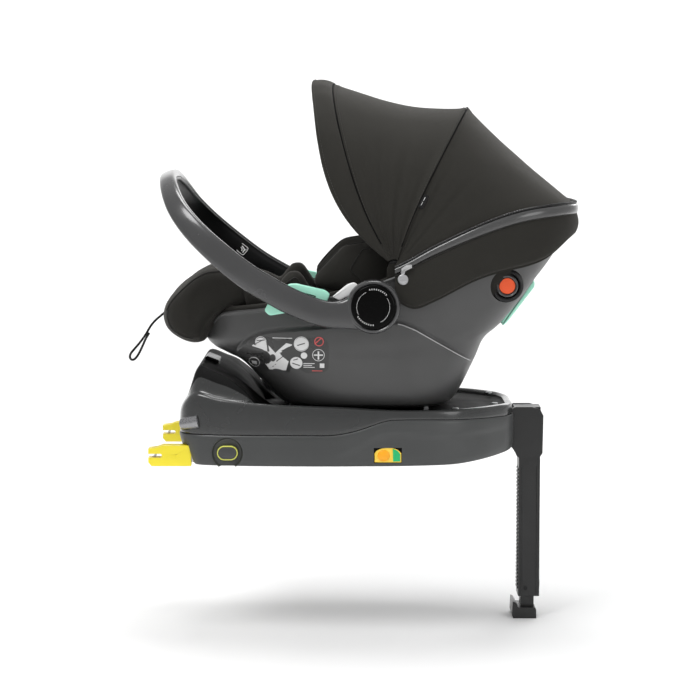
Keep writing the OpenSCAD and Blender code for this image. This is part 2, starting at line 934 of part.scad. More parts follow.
// Pull strap of the harness, a sewn loop
function dir3(i) =
    let (a = strap_route[max(i - 1, 0)], b = strap_route[min(i + 1, len(strap_route) - 1)])
    (b - a) / norm(b - a);
module strap_loop() {
    color(cloth_black)
    loft([for (i = [0:len(strap_route) - 1])
        let (t = dir3(i), side = [0, 1, 0], up = cross(t, side))
        [for (k = [0:7]) strap_route[i] + strap_r * (cos(k * 45) * side + sin(k * 45) * up)]]);
}

// ---------------------------------------------------------------- canopy

// Radius of the cloth at its crown against the angle about the pivot axis
function crown_r(a) =
    let (t = (a - mid_angle) / (front_angle - mid_angle))
    a >= front_angle ? mix(front_r, front_r + 15, (a - front_angle) / 6)
    : a > mid_angle ? mix(mid_r, front_r, t) - 132 * t * (1 - t)
    : mid_r;
// Distance that a bow's legs lean forward of its plane, at angle a and cross angle b
function lean(a, b) =
    (12 + 10 * max(min((a - mid_angle) / (front_angle - mid_angle), 1), 0))
        * abs(sin(b)) * (1 - pow(abs(b) / 90, 12));
// Point of the canopy at angle a and cross angle b (-90..90), drop below the cloth
function canopy_point(a, b, drop) =
    let (
        r = max((crown_r(a) - drop) * pow(max(cos(b), 0), 2 / bow_power), 12),
        y = (canopy_half_w - drop) * spow(sin(b), 2 / bow_power)
    )
    [can_x + r * cos(a) - lean(a, b), y, can_z + r * sin(a)];
cross_steps = 24;
function cross_angle(k) = -86 + 172 * k / cross_steps;

// Point of the rear panel: t runs from the middle bow to the zip, k from side to side
function rear_point(t, k, drop) =
    let (
        a = canopy_point(mid_angle - 0.4, cross_angle(k), drop),
        q = boot_point(-90 + 180 * k / cross_steps, 1.5 - drop, 0),
        p = mix(a, [q[0], q[1], zip_z(q[0]) + 8.8], t),
        v = p - [can_x, 0, can_z]
    )
    p - v / norm(v) * 20 * t * (1 - t) * cos(cross_angle(k));

module canopy_sheet(a0, a1, steps) {
    sheet(
        [for (j = [0:steps]) [for (k = [0:cross_steps])
            canopy_point(mix(a0, a1, j / steps), cross_angle(k), 0)]],
        [for (j = [0:steps]) [for (k = [0:cross_steps])
            canopy_point(mix(a0, a1, j / steps), cross_angle(k), cloth_t)]]
    );
}

module front_panel() {
    color(cloth_black)
    canopy_sheet(mid_angle + 0.4, front_angle - 0.4, 8);
}

module rear_panel() {
    color(cloth_black)
    sheet(
        [for (j = [0:8]) [for (k = [0:cross_steps]) rear_point(j / 8, k, cloth_t)]],
        [for (j = [0:8]) [for (k = [0:cross_steps]) rear_point(j / 8, k, 0)]]
    );
}

// Angle that the visor reaches forward to, at cross angle b
function visor_reach(b) = mix(6, 27, pow(1 - cos(b), 1.85));
module visor_band() {
    rows = 4;
    color(cloth_black)
    sheet(
        [for (j = [0:rows]) [for (k = [0:cross_steps])
            let (b = cross_angle(k))
            canopy_point(front_angle + visor_reach(b) * j / rows, b, 0)]],
        [for (j = [0:rows]) [for (k = [0:cross_steps])
            let (b = cross_angle(k))
            canopy_point(front_angle + visor_reach(b) * j / rows, b, cloth_t)]]
    );
}

// Bow: a tube in the plane at angle a, and an eye at each end on the pivot
module bow(a, eye_y) {
    r = crown_r(a) - cloth_t - bow_tube_r - 2.5;
    w = eye_y + 1.5;
    steps = 40;
    path = [for (k = [0:steps])
        let (b = -88 + 176 * k / steps, rr = max(r * pow(cos(b), 2 / bow_power), 8))
        [can_x + rr * cos(a) - lean(a, b), w * spow(sin(b), 2 / bow_power), can_z + rr * sin(a)]];
    normal = [sin(a), 0, -cos(a)];
    loft([for (i = [0:steps])
        let (
            p = path[max(i - 1, 0)],
            q = path[min(i + 1, steps)],
            t = (q - p) / norm(q - p),
            side = cross(t, normal)
        )
        [for (k = [0:7]) path[i] + bow_tube_r * (cos(k * 45) * normal + sin(k * 45) * side)]]);
    both_sides()
        difference() {
            rod_y(can_x, can_z, 10, eye_y - 1.5, eye_y + 1.5);
            rod_y(can_x, can_z, 5 + running, 0, 250);
        }
}

module mid_bow() {
    color(leg_black)
    bow(mid_angle, 175);
}

module front_bow() {
    color(leg_black)
    bow(front_angle, 170);
}

module canopy_pins() {
    color(deep_black)
    both_sides() {
        rod_y(can_x, can_z, 5, 166, 181);
        side_prism([[56, 280], [80, 284], [80, 304], [76, 311], [60, 311], [56, 304]], 177.6, 181.5);
    }
}

// ---------------------------------------------------------------- handle

// Frame of the handle at path angle b: middle point, outward and across directions
function handle_s(b) = arm_s0 + (arm_s1 - arm_s0) * pow(max(cos(b), 0), 2 / handle_power);
function handle_y(b) = arm_y * spow(sin(b), 2 / handle_power);
function arm_xz(s) = [curve(arm_line, s, 1), 0, curve(arm_line, s, 2)];
function arm_dir(s) =
    let (d = arm_xz(min(s + 3, 411)) - arm_xz(max(s - 3, 0)))
    d / norm(d);
function handle_width(s) = mix(arm_w, 25, pow(s / arm_s1, 4));
// Path as [s, y] pairs from the right hub to the left hub
handle_path = concat(
    [for (s = [22:28:arm_s0 - 10]) [s, -arm_y]],
    [for (b = [-88:8:88]) [handle_s(b), handle_y(b)]],
    [for (s = [arm_s0 - 22:-28:20]) [s, arm_y]]
);
function handle_ring(i, o0, o1, share) =
    let (
        last = len(handle_path) - 1,
        p = handle_path[max(i - 1, 0)],
        q = handle_path[min(i + 1, last)],
        d = (q - p) / norm(q - p),
        c = handle_path[i],
        along = arm_dir(c[0]),
        out = along * d[1] + [0, -1, 0] * d[0],
        across = cross(along, [0, 1, 0]),
        mid = arm_xz(c[0]) + [0, c[1], 0],
        w = handle_width(c[0]) / 2 * share,
        f = 4
    )
    [for (e = [[o0, -w + f / 2], [o0, w - f / 2], [o0 + f / 2, w], [o1 - f, w], [o1, w - f * 1.4],
        [o1, -w + f * 1.4], [o1 - f, -w], [o0 + f / 2, -w]])
        mid + out * e[0] + across * e[1]];

module handle_shell() {
    last = len(handle_path) - 1;
    color(gloss_grey)
    difference() {
        union() {
            loft([for (i = [0:last]) handle_ring(i, -4.5, 9, 1)]);
            both_sides()
                rod_y(hub_x, hub_z, hub_r, hub_in, hub_out);
        }
        both_sides() {
            rod_y(hub_x, hub_z, pivot_r + running, hub_in - 5, hub_in + 9);
            rod_y(hub_x, hub_z, 34 + gap, hub_out - 7, hub_out + 5);
        }
    }
}

module handle_cover() {
    last = len(handle_path) - 1;
    color(deep_black)
    loft([for (i = [1:last - 1]) handle_ring(i, -9, -5.1, 0.82)]);
}

module hub_button(side) {
    color(deep_black)
    rod_y(hub_x, hub_z, 34, side * (hub_out - 1.5), side * (hub_out + 3));
}

module hub_button_left() {
    hub_button(1);
}

module hub_button_right() {
    hub_button(-1);
}

base_lower_housing();
base_upper_cover();
button_trims();
indicator_frame();
indicator_marker();
corner_caps();
dock_bars();
leg_bracket();
leg_hinge_pin();
base_screws();
isofix_arm_left();
isofix_arm_right();
isofix_connector_left();
isofix_connector_right();
isofix_yoke();
isofix_hook_left();
isofix_hook_right();
arm_button_left();
arm_button_right();
indicator_button();
release_button();
leg_outer_tube();
leg_button();
leg_inner_tube();
leg_foot();
leg_sole();
carrier_shell();
handle_pivots();
belt_guides();
rear_belt_guide();
guide_tabs();
label_plates();
seat_liner();
foot_pad();
side_bolsters();
harness_straps();
shoulder_pads();
buckle();
rear_boot();
zip_band();
zip_slider();
pod_housings();
canopy_pins();
strap_loop();
buckle_button();
adjuster_button();
headrest();
zip_pull();
side_pod_left();
side_pod_right();
mid_bow();
front_bow();
visor_band();
front_panel();
rear_panel();
handle_shell();
handle_cover();
hub_button_left();
hub_button_right();
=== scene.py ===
"""Infant car seat on an ISOFIX base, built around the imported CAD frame.

Lengths in the tables are millimetres in the row frame; mesh helpers turn them into metres.
"""

import json
import math

import bmesh
import bpy
import numpy as np
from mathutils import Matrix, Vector
from mathutils.bvhtree import BVHTree


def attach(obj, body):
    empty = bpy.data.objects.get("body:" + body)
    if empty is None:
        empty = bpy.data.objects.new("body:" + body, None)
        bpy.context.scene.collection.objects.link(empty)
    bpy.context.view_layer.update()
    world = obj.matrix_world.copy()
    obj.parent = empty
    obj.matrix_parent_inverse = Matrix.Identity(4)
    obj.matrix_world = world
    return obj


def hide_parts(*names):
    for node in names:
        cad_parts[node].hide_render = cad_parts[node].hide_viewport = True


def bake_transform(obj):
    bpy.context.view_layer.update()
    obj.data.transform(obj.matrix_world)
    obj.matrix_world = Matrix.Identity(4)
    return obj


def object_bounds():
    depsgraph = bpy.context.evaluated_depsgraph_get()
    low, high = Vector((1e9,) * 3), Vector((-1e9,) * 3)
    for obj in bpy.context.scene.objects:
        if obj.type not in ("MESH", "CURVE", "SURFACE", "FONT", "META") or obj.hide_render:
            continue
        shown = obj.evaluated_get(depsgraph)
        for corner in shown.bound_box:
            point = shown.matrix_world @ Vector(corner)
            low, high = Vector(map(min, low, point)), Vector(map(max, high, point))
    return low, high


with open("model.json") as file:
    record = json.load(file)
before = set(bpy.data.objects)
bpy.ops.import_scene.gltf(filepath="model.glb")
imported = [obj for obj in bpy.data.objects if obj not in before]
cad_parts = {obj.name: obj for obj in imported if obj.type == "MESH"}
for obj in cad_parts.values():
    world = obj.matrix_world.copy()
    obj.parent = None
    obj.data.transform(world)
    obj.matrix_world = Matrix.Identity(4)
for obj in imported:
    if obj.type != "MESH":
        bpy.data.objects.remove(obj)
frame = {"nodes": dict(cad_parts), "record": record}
CAD_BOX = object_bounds()
NODES = frame["nodes"]
MM = 0.001
scene = bpy.context.scene

# ------------------------------------------------------------------ design values, in mm

# Shell outlines from the floor to the rim:
# front X, rear X, share of the full half width, front Z, rear Z
SHELL_LEVELS = [
    [-104, 146, 0.70, 84, 84],
    [-122, 168, 0.80, 98, 100],
    [-168, 196, 0.92, 148, 156],
    [-196, 212, 0.95, 164, 190],
    [-214, 243, 0.97, 173, 219],
    [-226, 292, 0.99, 184, 284],
    [-229, 345, 1.00, 196, 385],
]
SHELL_HALF_W = 186
FRONT_POWER = 2.6
REAR_POWER = 3.8
RIM = [
    [-229, 192], [-218, 207], [-207, 221], [-192, 230], [-134, 239], [-60, 252],
    [20, 272], [70, 290], [140, 308], [220, 327], [300, 349], [345, 368],
]
# Seat space outlines from the floor to the rim, as for the shell
SEAT_LEVELS = [
    [-130, 70, 0.46, 140, 140],
    [-176, 120, 0.62, 160, 178],
    [-202, 196, 0.76, 186, 246],
    [-210, 312, 0.88, 200, 372],
]
# Canopy: pivot axis, bow angles about it in degrees, crown radii
CANOPY_X = 68
CANOPY_Z = 306
CANOPY_HALF_W = 184
FRONT_ANGLE = 108
MID_ANGLE = 64
FRONT_R = 292
MID_R = 268
BOW_POWER = 2.6
# Zip line and lower edge of the rear cover: Z against X
ZIP_LINE = [[60, 297], [86, 309], [127, 331], [199, 363], [257, 382], [320, 391], [356, 392]]
COVER_EDGE = [
    [60, 262], [95, 243], [127, 253], [184, 282], [216, 294], [295, 315], [345, 350], [360, 352],
]
# Handle: distance along the arm's middle line, X, Z
ARM_LINE = [
    [0, 35, 248], [40, -5, 237], [75, -40, 238], [120, -84, 254], [160, -117, 271],
    [205, -155, 294], [258, -197, 327], [310, -236, 363], [352, -263, 396],
    [392, -281, 431], [412, -288, 449],
]
ARM_Y = 210
ARM_W = 40
ARM_S0 = 190
ARM_S1 = 402
HANDLE_POWER = 2.7
HUB = (35, 248)
# Base outline in plan: half width against X
BASE_PLAN = [
    [-266, 118], [-262, 138], [-250, 155], [-225, 166], [-180, 174], [-100, 178],
    [40, 178], [110, 173], [165, 160], [205, 133], [233, 102], [250, 78], [259, 50],
]
SEAM = [[-270, 47], [-60, 47], [-25, 47.5], [10, 54], [55, 69], [80, 71], [150, 70], [262, 66]]
UNDERSIDE = [[-270, 0], [150, 0], [214, 5], [262, 12]]
BASE_RIM = [
    [-268, 78], [-258, 94], [-246, 107], [-235, 112], [-201, 104], [-131, 96], [-15, 91],
    [81, 86], [235, 86], [259, 84],
]
# Top of the base inside its rim: the tower, its rear slope and the dished floor
BASE_TOP = [
    [-262, 84], [-252, 104], [-244, 126], [-237, 145], [-229, 151], [-206, 142], [-184, 132],
    [-152, 104], [-141, 82], [-128, 79.5], [0, 79], [130, 79], [230, 79], [262, 79],
]
# Route of the harness pull strap, as in the CAD source
STRAP_ROUTE = [
    [-291, 0, 226], [-297, 0, 222], [-303, 0, 217], [-309, 0, 212], [-315, 0, 206],
    [-320, 0, 199], [-325, 0, 190], [-331, 0, 181], [-338, 0, 172], [-345, 0, 164],
    [-351, 0, 157], [-353, 0, 151], [-350, 0, 146], [-345, 0, 147], [-340, 0, 153],
    [-335, 0, 162], [-331, 0, 171], [-327, 0, 180], [-321, 0, 190],
]


# ------------------------------------------------------------------ small maths


def mix(a, b, t):
    return a + (b - a) * t


def spow(v, p):
    return np.sign(v) * np.abs(v) ** p


def smooth(lo, hi, x):
    t = np.clip((np.asarray(x, float) - lo) / (hi - lo), 0, 1)
    return t * t * (3 - 2 * t)


def curve(knots, x, column=1):
    """Smooth curve through the knots, as in the CAD source, for an array of x."""
    k = np.asarray(knots, float)
    x = np.clip(np.asarray(x, float), k[0, 0], k[-1, 0])
    i = np.clip(np.searchsorted(k[:, 0], x) - 1, 0, len(k) - 2)
    y = k[:, column]
    lo = np.maximum(np.arange(len(k)) - 1, 0)
    hi = np.minimum(np.arange(len(k)) + 1, len(k) - 1)
    slope = (y[hi] - y[lo]) / (k[hi, 0] - k[lo, 0])
    h = k[i + 1, 0] - k[i, 0]
    t = (x - k[i, 0]) / h
    return (
        y[i] * (2 * t**3 - 3 * t**2 + 1)
        + slope[i] * h * (t**3 - 2 * t**2 + t)
        + y[i + 1] * (3 * t**2 - 2 * t**3)
        + slope[i + 1] * h * (t**3 - t**2)
    )


def resample(points, count):
    """The same line with count points at equal distances along it."""
    p = np.asarray(points, float)
    d = np.concatenate([[0], np.cumsum(np.linalg.norm(np.diff(p, axis=0), axis=1))])
    s = np.linspace(0, d[-1], count)
    return np.stack([np.interp(s, d, p[:, c]) for c in range(p.shape[1])], axis=1)


def ripple(p, size, seed=0.0):
    """Smooth pseudo-noise from -1 to 1 at points p, with features of about size mm."""
    q = np.asarray(p, float) / size
    a = np.sin(q[..., 0] * 2.1 + 1.7 * np.sin(q[..., 1] * 1.3 + seed) + seed)
    b = np.sin(q[..., 1] * 2.4 + 1.4 * np.sin(q[..., 2] * 1.7 + 2 * seed) + 1.3 * seed)
    c = np.sin(q[..., 2] * 1.9 + 1.6 * np.sin(q[..., 0] * 1.5 + 3 * seed) + 0.7 * seed)
    return (a + b + c) / 3


# ------------------------------------------------------------------ mesh helpers


def new_object(name, verts, faces, angle=40):
    """Object from vertices in mm. Edges sharper than angle degrees stay sharp."""
    mesh = bpy.data.meshes.new(name)
    mesh.from_pydata([tuple(v) for v in np.asarray(verts, float) * MM], [], faces)
    mesh.validate()
    mesh.update()
    bm = bmesh.new()
    bm.from_mesh(mesh)
    bmesh.ops.recalc_face_normals(bm, faces=bm.faces)
    bm.to_mesh(mesh)
    bm.free()
    mesh.shade_smooth()
    mesh.set_sharp_from_angle(angle=math.radians(angle))
    piece = bpy.data.objects.new(name, mesh)
    scene.collection.objects.link(piece)
    return piece


def grid_faces(m, n, wrap_rows=False, wrap_cols=False, offset=0):
    faces = []
    for j in range(m if wrap_rows else m - 1):
        for i in range(n if wrap_cols else n - 1):
            a, b = j, (j + 1) % m
            c, d = i, (i + 1) % n
            faces.append([offset + a * n + c, offset + b * n + c, offset + b * n + d, offset + a * n + d])
    return faces


def loft(name, rings, caps=True, angle=40):
    """Closed solid through rings of points."""
    grid = np.asarray(rings, float)
    m, n = grid.shape[:2]
    faces = grid_faces(m, n, wrap_cols=True)
    if caps:
        faces.append(list(range(n)))
        faces.append([(m - 1) * n + i for i in range(n)][::-1])
    return new_object(name, grid.reshape(-1, 3), faces, angle)


def slab(name, outer, inner, angle=50):
    """Closed sheet between two grids of points of the same size."""
    outer, inner = np.asarray(outer, float), np.asarray(inner, float)
    m, n = outer.shape[:2]
    off = m * n
    faces = grid_faces(m, n) + [f[::-1] for f in grid_faces(m, n, offset=off)]
    loop = [(0, i) for i in range(n)] + [(j, n - 1) for j in range(1, m)]
    loop += [(m - 1, i) for i in range(n - 2, -1, -1)] + [(j, 0) for j in range(m - 2, 0, -1)]
    ids = [j * n + i for j, i in loop]
    for k, a in enumerate(ids):
        b = ids[(k + 1) % len(ids)]
        faces.append([a, b, off + b, off + a])
    return new_object(name, np.concatenate([outer.reshape(-1, 3), inner.reshape(-1, 3)]), faces, angle)


def tube_rings(path, radius, sides=10, flat=1.0, up=(0, 0, 1)):
    """Rings of a tube along a path; flat under 1 makes an oval."""
    p = np.asarray(path, float)
    r = np.broadcast_to(np.asarray(radius, float), (len(p),))
    t = np.gradient(p, axis=0)
    t /= np.linalg.norm(t, axis=1)[:, None]
    rings = []
    side = np.cross(t[0], up)
    if np.linalg.norm(side) < 1e-3:
        side = np.cross(t[0], (0, 1, 0))
    side /= np.linalg.norm(side)
    for i in range(len(p)):
        side = side - t[i] * (side @ t[i])
        side /= np.linalg.norm(side)
        other = np.cross(t[i], side)
        a = np.linspace(0, 2 * math.pi, sides, endpoint=False)
        rings.append(p[i] + r[i] * (np.outer(np.cos(a), side) + flat * np.outer(np.sin(a), other)))
    return rings


def tube(name, path, radius, sides=10, flat=1.0, up=(0, 0, 1)):
    return loft(name, tube_rings(path, radius, sides, flat, up), angle=60)


def many_tubes(name, paths, radius, sides=6):
    """One object of several short tubes, such as the stitches of a seam."""
    verts, faces = [], []
    for path in paths:
        rings = np.asarray(tube_rings(path, radius, sides))
        m, n = rings.shape[:2]
        base = len(verts)
        verts.extend(rings.reshape(-1, 3))
        faces += grid_faces(m, n, wrap_cols=True, offset=base)
        faces.append([base + i for i in range(n)])
        faces.append([base + (m - 1) * n + i for i in range(n)][::-1])
    return new_object(name, verts, faces, 60)


def stitches(name, path, pitch=5.0, length=3.4, radius=0.35):
    """Dashes of thread along a line."""
    p = np.asarray(path, float)
    d = np.concatenate([[0], np.cumsum(np.linalg.norm(np.diff(p, axis=0), axis=1))])
    dashes = []
    for s in np.arange(pitch / 2, d[-1] - pitch, pitch):
        at = np.array([s, s + length / 2, s + length])
        dashes.append(np.stack([np.interp(at, d, p[:, c]) for c in range(3)], axis=1))
    return many_tubes(name, dashes, radius)


def lathe(name, profile, centre, side, sides=72, angle=35):
    """Solid of revolution about the Y direction; profile is (radius, outward) pairs."""
    a = np.linspace(0, 2 * math.pi, sides, endpoint=False)
    rings = []
    for r, o in profile:
        x = centre[0] + r * np.cos(a)
        z = centre[2] + r * np.sin(a)
        rings.append(np.stack([x, np.full(sides, centre[1] + side * o), z], axis=1))
    return loft(name, rings, angle=angle)


def apply_modifiers(piece):
    """Bakes the piece's modifiers into its mesh."""
    bpy.context.view_layer.update()
    graph = bpy.context.evaluated_depsgraph_get()
    mesh = bpy.data.meshes.new_from_object(piece.evaluated_get(graph))
    piece.modifiers.clear()
    piece.data = mesh


def cut(piece, cutters):
    """Takes closed cutter objects away from the piece."""
    for c in cutters:
        b = piece.modifiers.new("cut", "BOOLEAN")
        b.operation = "DIFFERENCE"
        b.solver = "MANIFOLD"
        b.object = c
    apply_modifiers(piece)
    for c in cutters:
        bpy.data.objects.remove(c)
    piece.data.shade_smooth()
    piece.data.set_sharp_from_angle(angle=math.radians(35))


def box_object(low, high):
    x, y, z = zip(low, high)
    v = [(x[i], y[j], z[k]) for i in (0, 1) for j in (0, 1) for k in (0, 1)]
    f = [[0, 1, 3, 2], [4, 6, 7, 5], [0, 4, 5, 1], [2, 3, 7, 6], [0, 2, 6, 4], [1, 5, 7, 3]]
    return new_object("cutter", v, f)


def bevel(piece, width, segments=2, angle=30):
    b = piece.modifiers.new("edges", "BEVEL")
    b.width = width * MM
    b.segments = segments
    b.limit_method = "ANGLE"
    b.angle_limit = math.radians(angle)
    b.use_clamp_overlap = True
    w = piece.modifiers.new("normals", "WEIGHTED_NORMAL")
    w.keep_sharp = True


def subdivide(piece, levels=1):
    s = piece.modifiers.new("smooth", "SUBSURF")
    s.levels = levels
    s.render_levels = levels


def inflate(piece, voxel=5.0, cap=8.0, pressure=4.0):
    """Swells a closed soft form with a short cloth simulation, then smooths it."""
    r = piece.modifiers.new("remesh", "REMESH")
    r.mode = "VOXEL"
    r.voxel_size = voxel * MM
    r.use_smooth_shade = True
    apply_modifiers(piece)
    rest = np.array([v.co for v in piece.data.vertices])
    c = piece.modifiers.new("cloth", "CLOTH")
    c.settings.use_pressure = True
    c.settings.uniform_pressure_force = pressure
    c.settings.effector_weights.gravity = 0
    c.settings.tension_stiffness = 12
    c.settings.compression_stiffness = 12
    c.settings.bending_stiffness = 0.6
    c.collision_settings.use_collision = False
    for f in range(1, 21):
        scene.frame_set(f)
    apply_modifiers(piece)
    scene.frame_set(1)
    now = np.array([v.co for v in piece.data.vertices])
    move = now - rest
    far = np.linalg.norm(move, axis=1)[:, None]
    move *= np.minimum(1, cap * MM / np.maximum(far, 1e-9))
    piece.data.vertices.foreach_set("co", (rest + move).astype(np.float32).ravel())
    relax = piece.modifiers.new("relax", "SMOOTH")
    relax.factor = 0.5
    relax.iterations = 4
    subdivide(piece)
    apply_modifiers(piece)
    piece.data.shade_smooth()


def hull_of(name, spheres, shrink=0.0):
    """Convex hull round spheres given as (x, y, z, r)."""
    bm = bmesh.new()
    i = np.arange(120) + 0.5
    phi = np.arccos(1 - 2 * i / 120)
    theta = math.pi * (1 + 5**0.5) * i
    ball = np.stack([np.cos(theta) * np.sin(phi), np.sin(theta) * np.sin(phi), np.cos(phi)], axis=1)
    for x, y, z, r in spheres:
        for v in ball * max(r - shrink, 1) + (x, y, z):
            bm.verts.new(v * MM)
    out = bmesh.ops.convex_hull(bm, input=bm.verts)
    spare = [g for g in out["geom_interior"] + out["geom_unused"] if isinstance(g, bmesh.types.BMVert)]
    bmesh.ops.delete(bm, geom=list(set(spare)), context="VERTS")
    mesh = bpy.data.meshes.new(name)
    bm.to_mesh(mesh)
    bm.free()
    piece = bpy.data.objects.new(name, mesh)
    scene.collection.objects.link(piece)
    return piece


def joined(name, pieces):
    """One object of several; the parts are used up."""
    bm = bmesh.new()
    for p in pieces:
        bm.from_mesh(p.data)
        bpy.data.objects.remove(p)
    mesh = bpy.data.meshes.new(name)
    bm.to_mesh(mesh)
    bm.free()
    piece = bpy.data.objects.new(name, mesh)
    scene.collection.objects.link(piece)
    return piece


def on_surface(piece, path, lift=0.0):
    """The path moved onto the nearest point of the piece's surface, in mm."""
    out = []
    for p in np.asarray(path, float):
        _, place, normal, _ = piece.closest_point_on_mesh(Vector(p * MM))
        out.append(np.array(place) / MM + np.array(normal) * lift)
    return np.array(out)


def displace(piece, amount):
    """Moves each vertex along its normal by amount(points in mm), in mm."""
    n = len(piece.data.vertices)
    co = np.empty(n * 3, np.float32)
    no = np.empty(n * 3, np.float32)
    piece.data.vertices.foreach_get("co", co)
    piece.data.vertex_normals.foreach_get("vector", no)
    co = co.reshape(-1, 3)
    no = no.reshape(-1, 3)
    co = co + no * (amount(co / MM) * MM)[:, None]
    piece.data.vertices.foreach_set("co", co.astype(np.float32).ravel())
    piece.data.update()


# ------------------------------------------------------------------ materials


def material(name):
    m = bpy.data.materials.new(name)
    m.use_nodes = True
    tree = m.node_tree
    return m, tree, tree.nodes["Principled BSDF"]


def tint(color, k):
    return (color[0] * k, color[1] * k, color[2] * k, 1)


def noise(tree, where, scale, detail=3.0, rough=0.55):
    n = tree.nodes.new("ShaderNodeTexNoise")
    n.inputs["Scale"].default_value = scale
    n.inputs["Detail"].default_value = detail
    n.inputs["Roughness"].default_value = rough
    tree.links.new(where, n.inputs["Vector"])
    return n.outputs["Fac"]


def span(tree, value, lo, hi, from_lo=0.3, from_hi=0.7):
    n = tree.nodes.new("ShaderNodeMapRange")
    n.inputs["From Min"].default_value = from_lo
    n.inputs["From Max"].default_value = from_hi
    n.inputs["To Min"].default_value = lo
    n.inputs["To Max"].default_value = hi
    tree.links.new(value, n.inputs["Value"])
    return n.outputs["Result"]


def two_tone(tree, fac, a, b):
    n = tree.nodes.new("ShaderNodeMix")
    n.data_type = "RGBA"
    n.inputs["A"].default_value = a
    n.inputs["B"].default_value = b
    tree.links.new(fac, n.inputs["Factor"])
    return n.outputs["Result"]


def maths(tree, op, a, b):
    n = tree.nodes.new("ShaderNodeMath")
    n.operation = op
    for socket, v in zip(n.inputs, (a, b)):
        if isinstance(v, (int, float)):
            socket.default_value = v
        else:
            tree.links.new(v, socket)
    return n.outputs["Value"]


def bump(tree, shader, height, strength, distance):
    n = tree.nodes.new("ShaderNodeBump")
    n.inputs["Strength"].default_value = strength
    n.inputs["Distance"].default_value = distance
    tree.links.new(height, n.inputs["Height"])
    tree.links.new(n.outputs["Normal"], shader.inputs["Normal"])


def plastic(name, color, rough, grain=0.0009, depth=0.00006, coat=0.0, specular=0.5, wear=1.25):
    """Moulded plastic: a fine grain, uneven gloss and paler, polished edges."""
    m, tree, shader = material(name)
    where = tree.nodes.new("ShaderNodeTexCoord").outputs["Object"]
    edges = tree.nodes.new("ShaderNodeNewGeometry").outputs["Pointiness"]
    broad = noise(tree, where, 9.0, 3.0)
    base = two_tone(tree, span(tree, broad, 0, 1), tint(color, 0.92), tint(color, 1.08))
    worn = tree.nodes.new("ShaderNodeMix")
    worn.data_type = "RGBA"
    tree.links.new(span(tree, edges, 0, 1, 0.51, 0.60), worn.inputs["Factor"])
    tree.links.new(base, worn.inputs["A"])
    worn.inputs["B"].default_value = tint(color, wear)
    tree.links.new(worn.outputs["Result"], shader.inputs["Base Color"])
    tree.links.new(
        span(tree, noise(tree, where, 26.0), rough - 0.05, rough + 0.06), shader.inputs["Roughness"]
    )
    shader.inputs["Specular IOR Level"].default_value = specular
    shader.inputs["Coat Weight"].default_value = coat
    shader.inputs["Coat Roughness"].default_value = 0.12
    bump(tree, shader, noise(tree, where, 1 / grain, 2.0, 0.6), 0.35, depth)
    return m


def metal(name, color, rough):
    """Brushed steel with a streaked finish along X."""
    m, tree, shader = material(name)
    where = tree.nodes.new("ShaderNodeTexCoord").outputs["Object"]
    stretch = tree.nodes.new("ShaderNodeMapping")
    stretch.inputs["Scale"].default_value = (40, 900, 900)
    tree.links.new(where, stretch.inputs["Vector"])
    streak = noise(tree, stretch.outputs["Vector"], 1.0, 4.0)
    tree.links.new(two_tone(tree, streak, tint(color, 0.82), tint(color, 1.1)), shader.inputs["Base Color"])
    tree.links.new(span(tree, streak, rough - 0.08, rough + 0.1), shader.inputs["Roughness"])
    shader.inputs["Metallic"].default_value = 1.0
    bump(tree, shader, streak, 0.2, 0.00005)
    return m


def woven(name, color, thread=0.0011, depth=0.00016, sheen=0.25, rough=0.85, heather=0.18):
    """Cloth: two crossing sets of threads, a slight heather and a soft sheen."""
    m, tree, shader = material(name)
    where = tree.nodes.new("ShaderNodeTexCoord").outputs["Object"]
    split = tree.nodes.new("ShaderNodeSeparateXYZ")
    tree.links.new(where, split.inputs[0])
    x, y, z = split.outputs
    k = 2 * math.pi / thread
    along = maths(
        tree, "SINE", maths(tree, "MULTIPLY", maths(tree, "ADD", x, maths(tree, "MULTIPLY", y, 0.35)), k), 0
    )
    across = maths(
        tree, "SINE",
        maths(tree, "MULTIPLY", maths(tree, "SUBTRACT", z, maths(tree, "MULTIPLY", y, 0.65)), k), 0
    )
    weave = maths(tree, "MULTIPLY", along, across)
    slub = noise(tree, where, 900.0, 2.0, 0.7)
    broad = noise(tree, where, 7.0, 3.0)
    tone = maths(tree, "ADD", maths(tree, "MULTIPLY", weave, 0.22), slub)
    yarn = two_tone(
        tree, span(tree, tone, 0, 1, 0.2, 0.8), tint(color, 1 - heather), tint(color, 1 + heather)
    )
    dust = tree.nodes.new("ShaderNodeMix")
    dust.data_type = "RGBA"
    tree.links.new(span(tree, broad, 0, 0.35), dust.inputs["Factor"])
    tree.links.new(yarn, dust.inputs["A"])
    dust.inputs["B"].default_value = tint(color, 1.35)
    tree.links.new(dust.outputs["Result"], shader.inputs["Base Color"])
    shader.inputs["Roughness"].default_value = rough
    shader.inputs["Specular IOR Level"].default_value = 0.25
    shader.inputs["Sheen Weight"].default_value = sheen
    shader.inputs["Sheen Roughness"].default_value = 0.45
    shader.inputs["Sheen Tint"].default_value = (1.0, 0.96, 0.9, 1)
    bump(tree, shader, maths(tree, "ADD", weave, maths(tree, "MULTIPLY", slub, 0.8)), 0.6, depth)
    return m


